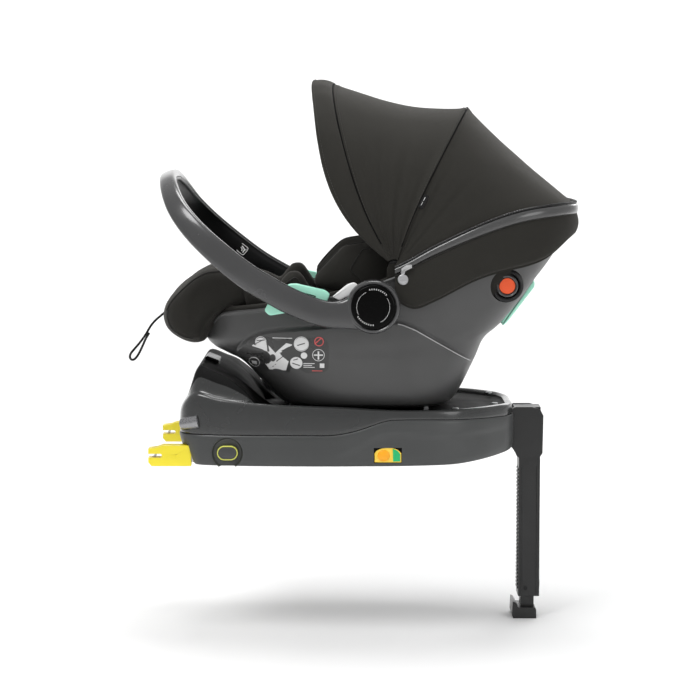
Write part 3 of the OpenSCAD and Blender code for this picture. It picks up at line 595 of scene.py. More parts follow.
MAT = {
    "base_plastic": plastic("base_plastic", (0.044, 0.046, 0.046), 0.38, depth=0.00006),
    "deck_plastic": plastic("deck_plastic", (0.019, 0.020, 0.020), 0.22, depth=0.00003, coat=0.4),
    # darker than deck_plastic: painted shade on the dished floor and the tower's rear slope
    "deck_floor_painted_shade": plastic("deck_floor_painted_shade", (0.009, 0.009, 0.009), 0.6, depth=0.0001, specular=0.06),
    # near black: painted shade, for the back of the indicator pocket and the canopy seams
    "painted_shade_black": plastic("painted_shade_black", (0.002, 0.002, 0.002), 0.8, specular=0.1),
    "shell_plastic": plastic("shell_plastic", (0.052, 0.052, 0.052), 0.42, depth=0.00008),
    # pale colour: a painted highlight along the shell's crease
    "bead_painted_highlight": plastic("bead_painted_highlight", (0.34, 0.34, 0.34), 0.22, depth=0.00002, coat=0.5),
    "gloss_trim": plastic("gloss_trim", (0.036, 0.036, 0.037), 0.23, grain=0.002, depth=0.00001, coat=0.5),
    "black_plastic": plastic(
        "black_plastic", (0.003, 0.003, 0.0033), 0.3, grain=0.002, depth=0.00001, specular=0.35
    ),
    "hub_black": plastic("hub_black", (0.001, 0.001, 0.001), 0.24, grain=0.002, depth=0.00001, specular=0.08),
    "leg_plastic": plastic("leg_plastic", (0.008, 0.008, 0.008), 0.33, grain=0.0007, depth=0.00004),
    "trim_yellow": plastic("trim_yellow", (0.72, 0.74, 0.14), 0.35, wear=1.05),
    "yellow_plastic": plastic("yellow_plastic", (0.86, 0.72, 0.03), 0.36, wear=1.03),
    "green_plastic": plastic("green_plastic", (0.005, 0.45, 0.14), 0.35, wear=1.05),
    "orange_plastic": plastic("orange_plastic", (0.87, 0.10, 0.02), 0.35, wear=1.05),
    "indicator_yellow": plastic("indicator_yellow", (0.92, 0.62, 0.06), 0.35, wear=1.05),
    "mint_plastic": plastic("mint_plastic", (0.40, 0.84, 0.66), 0.4, wear=1.05),
    "white_plastic": plastic("white_plastic", (0.96, 0.96, 0.96), 0.4, wear=1.0),
    "red_plastic": plastic("red_plastic", (0.5, 0.012, 0.01), 0.3, wear=1.1),
    "silver_plastic": plastic("silver_plastic", (0.42, 0.42, 0.42), 0.3, grain=0.002, coat=0.4, wear=1.1),
    "rubber": plastic("rubber", (0.018, 0.018, 0.018), 0.75, grain=0.0012, depth=0.00015),
    "label": plastic("label", (0.030, 0.030, 0.030), 0.30, grain=0.004, depth=0.00001),
    "zip_trim": plastic("zip_trim", (0.045, 0.045, 0.045), 0.22, grain=0.002, depth=0.00001, coat=0.4),
    "steel": metal("steel", (0.52, 0.52, 0.53), 0.32),
    "seat_cloth": woven("seat_cloth", (0.0150, 0.0140, 0.0118), sheen=0.12),
    "canopy_cloth": woven("canopy_cloth", (0.0185, 0.0174, 0.0146), thread=0.0009, sheen=0.08),
    "webbing": woven("webbing", (0.012, 0.012, 0.012), thread=0.0018, depth=0.0003, sheen=0.1),
    "cap_metal": metal("cap_metal", (0.30, 0.30, 0.31), 0.28),
    "thread": plastic("thread", (0.03, 0.028, 0.025), 0.7),
    "piping": woven("piping", (0.010, 0.0095, 0.0085), thread=0.0008, sheen=0.12, rough=0.6),
    "zip_teeth": plastic("zip_teeth", (0.012, 0.012, 0.012), 0.35),
    "amber_plastic": plastic("amber_plastic", (0.95, 0.40, 0.005), 0.35, wear=1.05),
    "print_white": plastic("print_white", (0.88, 0.88, 0.88), 0.5, wear=1.0),
    "print_grey": plastic("print_grey", (0.62, 0.62, 0.62), 0.5, wear=1.0),
    "print_dark": plastic("print_dark", (0.04, 0.04, 0.04), 0.5, wear=1.0),
    "print_red": plastic("print_red", (0.55, 0.08, 0.08), 0.5, wear=1.0),
}


def finish_piece(piece, body, slot, *stands_for, look=None):
    """Gives a piece the material of its look, or else of its record slot, and makes it ride on its body."""
    piece.data.materials.clear()
    piece.data.materials.append(MAT[look or slot])
    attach(piece, body)
    if stands_for:
        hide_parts(*stands_for)
    return piece


# ------------------------------------------------------------------ camera, light and floor


def make_stage():
    """Camera on the photograph's line of sight, a pale floor and soft studio light."""
    elevation = math.radians(5.5)
    distance = 3.7
    target = Vector((0, 0, 0.1624))
    cam = bpy.data.objects.new("camera", bpy.data.cameras.new("camera"))
    metres_per_pixel = 0.0016
    frame_pixels = 700
    cam.data.sensor_width = 36
    cam.data.lens = cam.data.sensor_width * distance / (metres_per_pixel * frame_pixels)
    cam.data.clip_end = 60
    cam.location = target + distance * Vector((0, -math.cos(elevation), math.sin(elevation)))
    cam.rotation_euler = (math.radians(90) - elevation, 0, 0)
    scene.collection.objects.link(cam)
    scene.camera = cam
    floor_z = CAD_BOX[0].z * 1000 - 0.5
    rows = []
    for y, z in [(-9000, 0), (6000, 0), (7500, 250), (8400, 1000), (8700, 2500), (8700, 9000)]:
        rows.append([(x, y, floor_z + z) for x in (-14000, -5000, 0, 5000, 14000)])
    grid = np.asarray(rows, float)
    floor = new_object("floor", grid.reshape(-1, 3), grid_faces(6, 5), 180)
    subdivide(floor, 3)
    white, tree, shader = material("floor_white")
    where = tree.nodes.new("ShaderNodeTexCoord").outputs["Object"]
    tone = two_tone(tree, noise(tree, where, 0.6), (0.90, 0.90, 0.90, 1), (0.93, 0.93, 0.93, 1))
    tree.links.new(tone, shader.inputs["Base Color"])
    shader.inputs["Roughness"].default_value = 0.9
    floor.data.materials.append(white)
    world = bpy.data.worlds.new("studio")
    world.use_nodes = True
    world.node_tree.nodes["Background"].inputs["Color"].default_value = (1, 1, 1, 1)
    world.node_tree.nodes["Background"].inputs["Strength"].default_value = 0.62
    scene.world = world
    lights = [
        ("key", (-1.3, -1.5, 2.9), target, 1.5, 48),
        ("fill", (2.6, -2.8, 0.9), target, 1.6, 18),
        ("top", (0.1, 0.5, 2.7), target, 1.5, 40),
        ("back", (1.4, 2.6, 1.6), target, 1.6, 16),
        ("wall left", (-2.6, 5.2, 3.4), Vector((0, 8.6, 0.4)), 2.5, 85),
        ("wall right", (2.6, 5.2, 3.4), Vector((0, 8.6, 0.4)), 2.5, 85),
    ]
    for name, place, aim, size, power in lights:
        lamp = bpy.data.lights.new(name, "AREA")
        lamp.shape = "DISK"
        lamp.size = size
        lamp.energy = power
        o = bpy.data.objects.new(name, lamp)
        o.location = place
        o.rotation_euler = (aim - o.location).to_track_quat("-Z", "Y").to_euler()
        scene.collection.objects.link(o)
    scene.view_settings.view_transform = "Standard"


make_stage()


# ------------------------------------------------------------------ outlines shared by pieces


def half_outline(front, rear, half_w, power_front, power_rear, quarter):
    """Closed rounded outline in plan: equal steps along each quarter."""
    a = np.linspace(0, math.pi / 2, 600)
    middle = (front + rear) / 2

    def part(reach, power):
        line = np.stack(
            [middle + reach * np.cos(a) ** (2 / power), half_w * np.sin(a) ** (2 / power)], axis=1
        )
        return resample(line, quarter + 1)

    back = part(rear - middle, power_rear)
    fore = part(front - middle, power_front)[::-1]
    upper = np.concatenate([back, fore[1:]])
    lower = upper[1:-1][::-1] * [1, -1]
    return np.concatenate([upper, lower])


def shell_ring(level, inset, quarter=40, lift=0.0):
    """Ring of the shell at a level from 0 (floor) to 6 (rim)."""
    table = np.asarray(SHELL_LEVELS, float)
    steps = np.arange(len(table))
    f, r, share, zf, zr = (
        float(curve(np.stack([steps, table[:, c]], axis=1), level)) for c in range(5)
    )
    ring = half_outline(f + inset, r - inset, share * SHELL_HALF_W - inset, FRONT_POWER, REAR_POWER, quarter)
    t = (ring[:, 0] - f) / (r - f)
    z = mix(zf, zr, t)
    if level > 5:
        below = mix(table[5, 3], table[5, 4], t)
        z = mix(below, curve(RIM, ring[:, 0]), level - 5)
    return np.column_stack([ring, z + lift])


def canopy_r(angle):
    """Radius of the canopy's crown against its angle about the pivot, in degrees."""
    a = np.asarray(angle, float)
    front = mix(FRONT_R, FRONT_R + 15, (a - FRONT_ANGLE) / 6)
    t = (a - MID_ANGLE) / (FRONT_ANGLE - MID_ANGLE)
    middle = mix(MID_R, FRONT_R, t) - 132 * t * (1 - t)
    return np.where(a >= FRONT_ANGLE, front, np.where(a > MID_ANGLE, middle, MID_R))


def canopy_lean(angle, cross):
    """How far a bow's legs lean forward of its plane."""
    t = np.clip((np.asarray(angle, float) - MID_ANGLE) / (FRONT_ANGLE - MID_ANGLE), 0, 1)
    b = np.asarray(cross, float)
    return (12 + 10 * t) * np.abs(np.sin(np.radians(b))) * (1 - (np.abs(b) / 90) ** 12)


def canopy_point(angle, cross, drop=0.0):
    """Point of the canopy at an angle and a cross angle from -90 to 90 degrees."""
    angle, cross = np.broadcast_arrays(np.asarray(angle, float), np.asarray(cross, float))
    a, b = np.radians(angle), np.radians(cross)
    r = np.maximum((canopy_r(angle) - drop) * np.maximum(np.cos(b), 0) ** (2 / BOW_POWER), 12)
    y = (CANOPY_HALF_W - drop) * spow(np.sin(b), 2 / BOW_POWER)
    x = CANOPY_X + r * np.cos(a) - canopy_lean(angle, cross)
    return np.stack([x, y, CANOPY_Z + r * np.sin(a)], axis=-1)


def cover_line(out, count=161):
    """Plan line round the head end, from one canopy pivot to the other."""
    a = np.linspace(0, math.pi / 2, 900)
    x = CANOPY_X + (281 + out) * np.cos(a) ** (2 / REAR_POWER)
    y = (SHELL_HALF_W + out) * np.sin(a) ** (2 / REAR_POWER)
    quarter = np.stack([x, y], axis=1)
    line = np.concatenate([quarter[::-1] * [1, -1], quarter[1:]])
    return resample(line, count)


# ------------------------------------------------------------------ pieces taken from the CAD

SLOTS = {part["node"]: part["material_slot"] for part in frame["record"]["subparts"]}
LOOKS = {
    "indicator_frame": "indicator_yellow",
    "indicator_button": "amber_plastic",
    "arm_button_left": "base_plastic",
    "arm_button_right": "base_plastic",
    "leg_hinge_pin": "leg_plastic",
    "base_upper_cover": "deck_plastic",
    "canopy_pins": "canopy_cloth",
    "corner_caps": "cap_metal",
    "zip_slider": "silver_plastic",
    "release_button": "hub_black",
    "hub_button_left": "hub_black",
    "hub_button_right": "hub_black",
}
replaced = set()


def keep(name, width=0.6, segments=2):
    """The CAD node itself, with rounded edges and its own material."""
    piece = NODES[name]
    piece.data.materials.clear()
    piece.data.materials.append(MAT[LOOKS.get(name, SLOTS[name])])
    piece.data.shade_smooth()
    weld = piece.modifiers.new("weld", "WELD")
    weld.merge_threshold = 0.00002
    flat = piece.modifiers.new("flat", "DECIMATE")
    flat.decimate_type = "DISSOLVE"
    flat.angle_limit = math.radians(1)
    bevel(piece, width, segments, 25)


def show(piece, body, node, *others, look=None):
    """Puts a detailed piece in the place of CAD nodes."""
    finish_piece(piece, body, SLOTS[node], node, *others, look=look or LOOKS.get(node))
    replaced.update((node, *others))
    return piece


def extra(piece, body, slot, look=None):
    """A detail that stands for no CAD node of its own."""
    return finish_piece(piece, body, slot, look=look)


# ------------------------------------------------------------------ base


def base_ring(inset, quarter=70):
    """Plan outline of the base, inset evenly, as a closed ring of (x, y)."""
    x = -266 + 525 * (1 - np.cos(np.linspace(0, math.pi, 300))) / 2
    upper = np.stack([x * (1 - inset / 262), curve(BASE_PLAN, x) * (178 - inset) / 178], axis=1)
    half = np.concatenate([[[upper[0, 0], 0]], upper, [[upper[-1, 0], 0]]])
    # corners of the two ends are rounded
    for _ in range(3):
        half = resample(half, 2 * quarter + 1)
        half[1:-1] = (half[:-2] + 2 * half[1:-1] + half[2:]) / 4
    return np.concatenate([half, half[1:-1][::-1] * [1, -1]])


def body_line(x):
    """Height of the crease along the side of the lower housing."""
    return curve([[-270, 4], [-40, 6], [0, 22], [48, 45], [80, 47], [150, 44], [262, 52]], x)


def make_base_lower():
    """Lower housing: rolled edges, leaning nose, tunnels, leg channel and pockets."""
    rings = []
    for t, inset in [
        (0.0, 12), (0.0, 6), (0.012, 3.4), (0.04, 1.8), (0.09, 0.9), (0.16, 0.4), (0.24, 0.2),
        (0.32, 0.1), (0.4, 0), (0.48, 0), (0.54, 0), (0.6, 0), (0.66, 0), (0.72, 0), (0.79, 0),
        (0.86, 0.1), (0.93, 0.2), (0.975, 0.6), (1.0, 1.6), (1.0, 5.5), (0.6, 4.6), (0.2, 5),
        (0.12, 7), (0.1, 14),
    ]:
        ring = base_ring(inset)
        x = ring[:, 0]
        z = mix(curve(UNDERSIDE, x), curve(SEAM, x), t)
        lean_back = 17 * (1 - smooth(-268, -225, x)) * (1 - t) ** 1.3
        below = 1 - smooth(-3, 3, z - body_line(x))
        pull = 1 - 2.2 * below * smooth(-60, 40, x) / 178
        rings.append(np.column_stack([x + lean_back, ring[:, 1] * pull, z]))
    body = loft("lower_housing", rings)
    cutters = [box_object((-215, -33, -5), (300, 33, 90))]
    for side in (-1, 1):
        y = side * 140
        cutters.append(box_object((-300, y - 12.5, -5), (-233, y + 12.5, 31)))
        cutters.append(box_object((-300, y - 10.4, 3.6), (-130, y + 10.4, 26.4)))
        cutters.append(lathe("cutter", [(24, 165.5), (24, 200)], (-188, 0, 20), side, 64))
    cutters.append(box_object((36.5, -200, 5.2), (79.5, -169, 28.6)))
    cut(body, cutters)
    return body


def make_base_upper():
    """Upper cover: shoulder, front tower, rim and dished floor."""
    def seam(x):
        return curve(SEAM, x) + 0.8

    def rim(x):
        return np.maximum(curve(BASE_RIM, x), seam(x) + 3)

    rings = []
    for t, inset in [
        (0, 5.5), (0, 2.6), (0.02, 1.8), (0.06, 1.5), (0.2, 1.5), (0.4, 1.6), (0.6, 1.8),
        (0.75, 2.1), (0.86, 2.6), (0.93, 3.6), (0.975, 5.2), (1.0, 7.4),
    ]:
        ring = base_ring(inset)
        rings.append(np.column_stack([ring, mix(seam(ring[:, 0]), rim(ring[:, 0]), t)]))
    for inset in (9.5, 11.5, 13, 15, 18, 22, 28, 36, 48, 64, 84, 106, 128, 150):
        ring = base_ring(inset)
        x = ring[:, 0]
        z = mix(rim(x), curve(BASE_TOP, x), smooth(8, 17, inset))
        rings.append(np.column_stack([ring, z]))
    cover = loft("upper_cover", rings)
    # the dished floor and the rear slope of the tower get a second, duller material whose darker colour is
    # painted shade
    floor_from = 14 * len(rings[0])
    for face in cover.data.polygons:
        if min(face.vertices) >= floor_from:
            face.material_index = 1
    return cover


def oval(cx, cz, w, h, count=48, power=2.0):
    a = np.linspace(0, 2 * math.pi, count, endpoint=False)
    return np.stack(
        [cx + w / 2 * spow(np.cos(a), 2 / power), cz + h / 2 * spow(np.sin(a), 2 / power)], axis=1
    )


def stadium(cx, cz, w, h, count=64):
    """Slot outline of total width w and height h."""
    a = np.linspace(0, 2 * math.pi, count, endpoint=False)
    r = h / 2
    x = np.cos(a) * r + np.sign(np.cos(a)) * (w / 2 - r)
    return np.stack([cx + x, cz + np.sin(a) * r], axis=1)


def plug(name, outline, y_back, y_front, crown=0.0, edge=0.8):
    """Solid with a side outline, from y_back to y_front, with a softened front edge."""
    line = np.asarray(outline, float)
    centre = line.mean(axis=0)
    size = np.abs(line - centre).max()
    side = 1 if y_front > y_back else -1
    rings = []
    for k, y in [
        (1, y_back), (1, y_front - side * edge), (1 - 0.35 * edge / size, y_front - side * edge * 0.3),
        (1 - edge / size, y_front), (0.6, y_front + side * crown * 0.6), (0.25, y_front + side * crown),
    ]:
        p = centre + (line - centre) * k
        rings.append(np.column_stack([p[:, 0], np.full(len(p), y), p[:, 1]]))
    return loft(name, rings, angle=50)


def frame_ring(name, outer, inner, y_back, y_front):
    """Flat band between two side outlines with the same number of points."""
    side = 1 if y_front > y_back else -1
    outer, inner = np.asarray(outer, float), np.asarray(inner, float)
    rings = []
    for k, y in [
        (0, y_back), (0, y_front - side * 0.4), (0.25, y_front), (0.75, y_front), (1, y_front - side * 0.4),
        (1, y_back)
    ]:
        p = mix(outer, inner, k)
        rings.append(np.column_stack([p[:, 0], np.full(len(p), y), p[:, 1]]))
    grid = np.asarray(rings)
    return new_object(name, grid.reshape(-1, 3), grid_faces(6, len(outer), True, True), 50)


def build_base():
    show(make_base_lower(), "base", "base_lower_housing")
    cover = make_base_upper()
    index = np.empty(len(cover.data.polygons), np.int32)
    cover.data.polygons.foreach_get("material_index", index)
    show(cover, "base", "base_upper_cover")
    # second slot: the darker floor material, painted shade
    cover.data.materials.append(MAT["deck_floor_painted_shade"])
    cover.data.polygons.foreach_set("material_index", index)
    # release buttons of the ISOFIX arms, each in a round dish
    trims = []
    for side, word in ((-1, "right"), (1, "left")):
        dish = lathe(
            "button_dish_" + word,
            [
                (0.1, 164.6), (19, 164.6), (21.5, 165.4), (23.6, 168.5), (24.0, 171.6), (24.6, 171.8),
                (24.6, 160), (0.1, 160)
            ],
            (-188, 0, 20), side, 64,
        )
        low = lathe("cutter", [(40, 160), (40, 180)], (-188, 0, -38.6), side, 64)
        cut(dish, [low])
        extra(dish, "base", "base_plastic")
        trims.append(
            frame_ring(
                "trim", stadium(-188, 20, 31.6, 22), stadium(-188, 20, 28.6, 19), side * 163, side * 171.2
            )
        )
        button = plug("arm_button_look_" + word, stadium(-188, 20, 28, 18), side * 157, side * 171.6, 0.8)
        show(button, "arm_release_" + word, "arm_button_" + word)
    show(joined("button_trims_look", trims), "base", "button_trims")
    # indicator window on the near side
    top = 28.8
    arch = [(37.5, 6.2), (78.5, 6.2), (78.5, 20)]
    arch += [
        (58 + 20.5 * math.cos(a), 16 + 12.8 * math.sin(a) ** 0.8)
        for a in np.linspace(0.35, math.pi - 0.35, 24)
    ]
    arch += [(37.5, 20)]
    arch = [(x, min(z, top)) for x, z in arch]
    # near-black plate at the back of the indicator pocket: painted shade in the recess
    extra(
        box_object((36, -172.4, 4.8), (80, -169.6, 29.2)), "base", "base_plastic", "painted_shade_black"
    ).name = "indicator_recess_shade"
    show(plug("indicator_frame_look", arch, -168.4, -174.6, 0.2, 0.6), "base", "indicator_frame")
    green = [(66, 7.6), (77, 7.6), (77, 19)]
    green += [(64 + 13 * math.cos(a), 15.4 + 11.6 * math.sin(a)) for a in np.linspace(0.4, 1.45, 12)]
    show(plug("indicator_marker_look", green, -170, -175.6, 0.1, 0.4), "base", "indicator_marker")
    button = plug("indicator_button_look", oval(51.5, 16.6, 19, 17.6), -160, -176.4, 1.2, 1.4)
    show(button, "indicator", "indicator_button")
    # metal caps at the front corners
    caps = []
    for side in (-1, 1):
        turn = math.radians(22)
        axis = np.array([-math.cos(turn) * 0.978, -side * math.sin(turn) * 0.978, -0.208])
        start = np.array([-238, side * 153, 66])
        path = [start + axis * s for s in (-9, -8.4, -8, 4, 19, 22.6, 24, 24.2)]
        caps.append(loft("cap", tube_rings(path, [9, 11.2, 11.9, 11.2, 10.0, 9.4, 7.8, 0.5], 40), angle=30))
    show(joined("corner_caps_look", caps), "base", "corner_caps")


# ------------------------------------------------------------------ carrier shell

# Upper border of the raised lower panel on each side of the shell: X, Z
PANEL_BORDER = [
    [-122, 76], [-130, 88], [-139, 101], [-160, 134], [-178, 160], [-178, 170], [-170, 182],
    [-160, 191], [-150, 198], [-140, 203], [-124, 207], [-106, 209], [-52, 214], [20, 222],
    [60, 224], [77, 222], [99, 213], [136, 191], [172, 169], [190, 158], [206, 148],
]
shell_tree = None


def border_distance(x, z):
    """Distance below (+) or above (-) the border of the side panel."""
    line = resample(PANEL_BORDER, 160)
    for _ in range(4):
        line[1:-1] = (line[:-2] + 2 * line[1:-1] + line[2:]) / 4
    p = np.stack([x, z], axis=-1)
    best = np.full(p.shape[:-1], 1e9)
    a, b = line[:-1], line[1:]
    for q, r in zip(a, b):
        d = r - q
        t = np.clip(((p - q) @ d) / (d @ d), 0, 1)
        best = np.minimum(best, np.linalg.norm(p - q - t[..., None] * d, axis=-1))
    ring = np.concatenate([line, [[206, 60], [-122, 60]]])
    inside = np.zeros(p.shape[:-1], bool)
    for q, r in zip(ring, np.roll(ring, -1, axis=0)):
        cross = (q[1] > z) != (r[1] > z)
        with np.errstate(divide="ignore", invalid="ignore"):
            at = q[0] + (z - q[1]) * (r[0] - q[0]) / (r[1] - q[1])
        inside ^= cross & (x < at)
    return np.where(inside, best, -best)


def make_shell():
    """Shell with a rolled rim and a raised panel low on each side."""
    quarter = 150
    rings = [
        shell_ring(0, 14, quarter, 0.0), shell_ring(0, 5, quarter, 0.0), shell_ring(0, 1.5, quarter, 0.8)
    ]
    levels = np.linspace(0.12, 5.9, 150)
    rings += [shell_ring(float(v), 0, quarter) for v in levels]
    rings += [
        shell_ring(5.95, -0.6, quarter), shell_ring(6, -1.6, quarter, -0.6),
        shell_ring(6, -1.8, quarter, 0.8),
        shell_ring(6, -0.8, quarter, 2.2), shell_ring(6, 1.2, quarter, 2.8), shell_ring(6, 3.2, quarter, 2.2),
        shell_ring(6, 4.4, quarter, 0.4),
    ]
    rings += [shell_ring(float(v), 4.5, quarter) for v in np.linspace(5.8, 0.2, 12)]
    rings.append(shell_ring(0, 8, quarter, 4.5))
    grid = np.asarray(rings)
    skin = grid[1 : 3 + len(levels)]
    d = border_distance(skin[..., 0], skin[..., 2])
    side = smooth(0.35, 0.8, np.abs(skin[..., 1]) / 160)
    raised = 5.6 * smooth(-0.5, 3.8, d) - 1.4 * np.exp(-(((d + 2.2) / 1.6) ** 2))
    raised *= side * smooth(84, 92, skin[..., 2])
    skin[..., 1] += np.sign(skin[..., 1]) * raised
    # a slight hollow above the panel, towards the head end
    hollow = 2.0 * np.exp(-(((skin[..., 0] - 190) / 60) ** 2 + ((skin[..., 2] - 225) / 38) ** 2)) * side
    skin[..., 1] -= np.sign(skin[..., 1]) * hollow
    return loft("shell", grid, angle=45)


def side_point(x, z, side=-1, lift=0.0):
    """Point of the shell's side at X, Z, moved out by lift along the surface normal."""
    origin = Vector((x * MM, side * 0.4, z * MM))
    place, normal, _, _ = shell_tree.ray_cast(origin, Vector((0, -side, 0)))
    return np.array(place) / MM + np.array(normal) * lift


def decal(outline, lift, steps=3):
    """Thin plate that follows the shell's side within a side outline."""
    out = []
    line = np.asarray(outline, float)
    centre = line.mean(axis=0)
    for side in (-1, 1):
        rings = []
        for k in np.linspace(1, 0.04, steps + 1):
            rings.append([side_point(*p, side, lift) for p in centre + (line - centre) * k])
        back = [[side_point(*p, side, -0.4) for p in line]]
        out.append(loft("decal", back + rings, angle=60))
    return joined("decal", out)


def ring_decal(outer, inner, lift):
    out = []
    for side in (-1, 1):
        rows = [(outer, -0.3), (outer, lift), (inner, lift), (inner, -0.3)]
        grid = np.asarray([[side_point(*p, side, h) for p in line] for line, h in rows])
        out.append(new_object("decal", grid.reshape(-1, 3), grid_faces(4, len(outer), True, True), 60))
    return joined("decal", out)


def bar(x, z, w, h=1.2, tilt=0.0):
    c, s = math.cos(tilt), math.sin(tilt)
    return [(x + u * c - v * s, z + u * s + v * c) for u, v in ((0, 0), (w, 0), (w, h), (0, h))]


def build_labels():
    """Instruction plates with plain, generic pictograms."""
    plate = []
    for a in np.linspace(0, 2 * math.pi, 64, endpoint=False):
        plate.append((-96 + 64 * spow(math.cos(a), 0.3), 171 + 28 * spow(math.sin(a), 0.3)))
    show(decal(plate, 0.35, 12), "carrier", "label_plates")
    white = [
        decal(
            [
                (-150, 184), (-141, 194), (-128, 190), (-117, 170), (-104, 176), (-97, 190), (-88, 188),
                (-94, 160), (-98, 146), (-124, 146)
            ],
            0.55, 6
        ),
        decal(oval(-74, 189, 21, 20, 28), 0.55),
        decal(oval(-70, 171, 10, 10, 20), 0.55),
        decal(oval(-82, 159, 19, 19, 28), 0.55),
        decal(oval(-136, 190, 16, 14, 24), 0.6),
    ]
    for cx, cz, r in ((-148, 156, 9), (-48, 172, 9.4), (-136, 190, 9), (-74, 189, 11.4)):
        white.append(
            ring_decal(oval(cx, cz, 2 * r, 2 * r, 32), oval(cx, cz, 2 * r - 1.6, 2 * r - 1.6, 32), 0.65)
        )
    white.append(decal(bar(-152, 152, 8, 6), 0.6))
    white.append(decal(bar(-55, 171, 14, 2), 0.6))
    white.append(decal(bar(-49.2, 165, 2.4, 13), 0.6))
    for k in range(3):
        white.append(decal(bar(-71, 158 - 3 * k, 17 - 4 * (k % 2), 1.1), 0.6))
    white.append(decal(bar(-46, 152, 7, 7), 0.6))
    white.append(decal(bar(-118, 197, 30, 1.1), 0.6))
    extra(joined("label_pictograms", white), "carrier", "label", "print_grey")
    marks = [
        decal(bar(-144, 187, 14, 1.2, 0.5), 0.95), decal(bar(-142, 192, 12, 1.1, 0.1), 0.95),
        decal(bar(-126, 176, 3, 16, 0.1), 0.95), decal(bar(-112, 160, 14, 1.4, 0.7), 0.95),
        decal(bar(-80, 186, 12, 1.3, 0.3), 0.95), decal(bar(-88, 158, 12, 1.3, -0.3), 0.95),
        decal(bar(-86, 163, 7, 1.1, 0.3), 0.95), decal(oval(-118, 166, 9, 12, 20), 0.8),
    ]
    extra(joined("label_marks", marks), "carrier", "label", "print_dark")
    red = [
        ring_decal(oval(-47, 193, 14.5, 14.5, 32), oval(-47, 193, 11.5, 11.5, 32), 0.65),
        decal(bar(-53, 188.5, 13, 1.6, 0.75), 0.7),
        decal(bar(-58, 146.5, 16, 1.1), 0.6),
    ]
    extra(joined("label_red_marks", red), "carrier", "label", "print_red")


def build_shell():
    global shell_tree
    skin = make_shell()
    cut(skin, [lathe("cutter", [(26.2, 120), (26.2, 215)], (240, 0, 276), side, 96) for side in (-1, 1)])
    shell = show(skin, "carrier", "carrier_shell")
    mesh = shell.data
    shell_tree = BVHTree.FromPolygons(
        [v.co.copy() for v in mesh.vertices], [list(p.vertices) for p in mesh.polygons]
    )
    # bead along the rear stretch of the raised panel's border; its pale colour is a painted highlight on the
    # crease
    border = resample(PANEL_BORDER, 160)[14:-3]
    for _ in range(4):
        border[1:-1] = (border[:-2] + 2 * border[1:-1] + border[2:]) / 4
    border = border[(border[:, 0] > 70) & (border[:, 0] < 188)]
    highlight_beads = [
        tube("bead", [side_point(x, z - 2.6, side, -0.1) for x, z in border], 0.95, 8) for side in (-1, 1)
    ]
    extra(joined("shell_panel_highlight_bead", highlight_beads), "carrier", "shell_plastic", "bead_painted_highlight")
    build_labels()
    # side impact pods in their housings
    housings = []
    for side, word in ((-1, "right"), (1, "left")):
        at = (240, 0, 276)
        housings.append(lathe("housing", [
            (0.2, 140), (17.6, 140), (18.2, 152), (19.2, 157.6), (21.5, 158.8), (24.6, 158.0), (26, 155.5),
            (26, 134), (0.2, 134),
        ], at, side, 72))
        cap = lathe("side_pod_" + word + "_ring", [
            (0.2, 137), (17, 137), (17.2, 158), (16.8, 160.6), (15.2, 161.8), (13.6, 161.0), (12.4, 159.2),
            (0.2, 158.6),
        ], at, side, 72)
        extra(cap, "pod_" + word, "gloss_trim")
        disc = lathe(
            "side_pod_" + word + "_look",
            [(0.2, 150), (12.2, 150), (12.2, 159.6), (11.4, 160.5), (0.2, 160.9)], at, side, 64
        )
        show(disc, "pod_" + word, "side_pod_" + word)
    show(joined("pod_housings_look", housings), "carrier", "pod_housings")


# ------------------------------------------------------------------ handle


def handle_path(first):
    """Stations [s, y] from the right hub round the grip to the left hub."""
    arm = np.arange(first, ARM_S0 - 4, 9.0)
    b = np.linspace(-89, 89, 90)
    cb = np.cos(np.radians(b))
    s = ARM_S0 + (ARM_S1 - ARM_S0) * cb ** (2 / HANDLE_POWER)
    y = ARM_Y * spow(np.sin(np.radians(b)), 2 / HANDLE_POWER)
    right = np.stack([arm, np.full(len(arm), -ARM_Y)], axis=1)
    line = np.concatenate([right, np.stack([s, y], axis=1), right[::-1] * [1, -1]])
    return resample(line, 190)


def arm_xz(s):
    return np.stack([curve(ARM_LINE, s, 1), np.zeros_like(s), curve(ARM_LINE, s, 2)], axis=-1)


def handle_half_width(s):
    narrow = mix(ARM_W, 25, (s / ARM_S1) ** 4) / 2
    return narrow + 17 * np.exp(-((s / 30) ** 2))


def handle_rings(path, section, share=1.0):
    """Rings of a section [outward, across share] swept along the handle."""
    s = path[:, 0]
    d = np.gradient(path, axis=0)
    d /= np.linalg.norm(d, axis=1)[:, None]
    along = arm_xz(np.minimum(s + 3, 411)) - arm_xz(np.maximum(s - 3, 0))
    along /= np.linalg.norm(along, axis=1)[:, None]
    out = along * d[:, 1:2] + np.array([0, -1, 0]) * d[:, 0:1]
    across = np.cross(along, np.array([0.0, 1, 0]))
    middle = arm_xz(s) + np.stack([np.zeros(len(s)), path[:, 1], np.zeros(len(s))], axis=1)
    w = handle_half_width(s) * share
    return [
        middle[i] + np.array([out[i] * o + across[i] * a * w[i] for o, a in section]) for i in range(len(s))
    ]


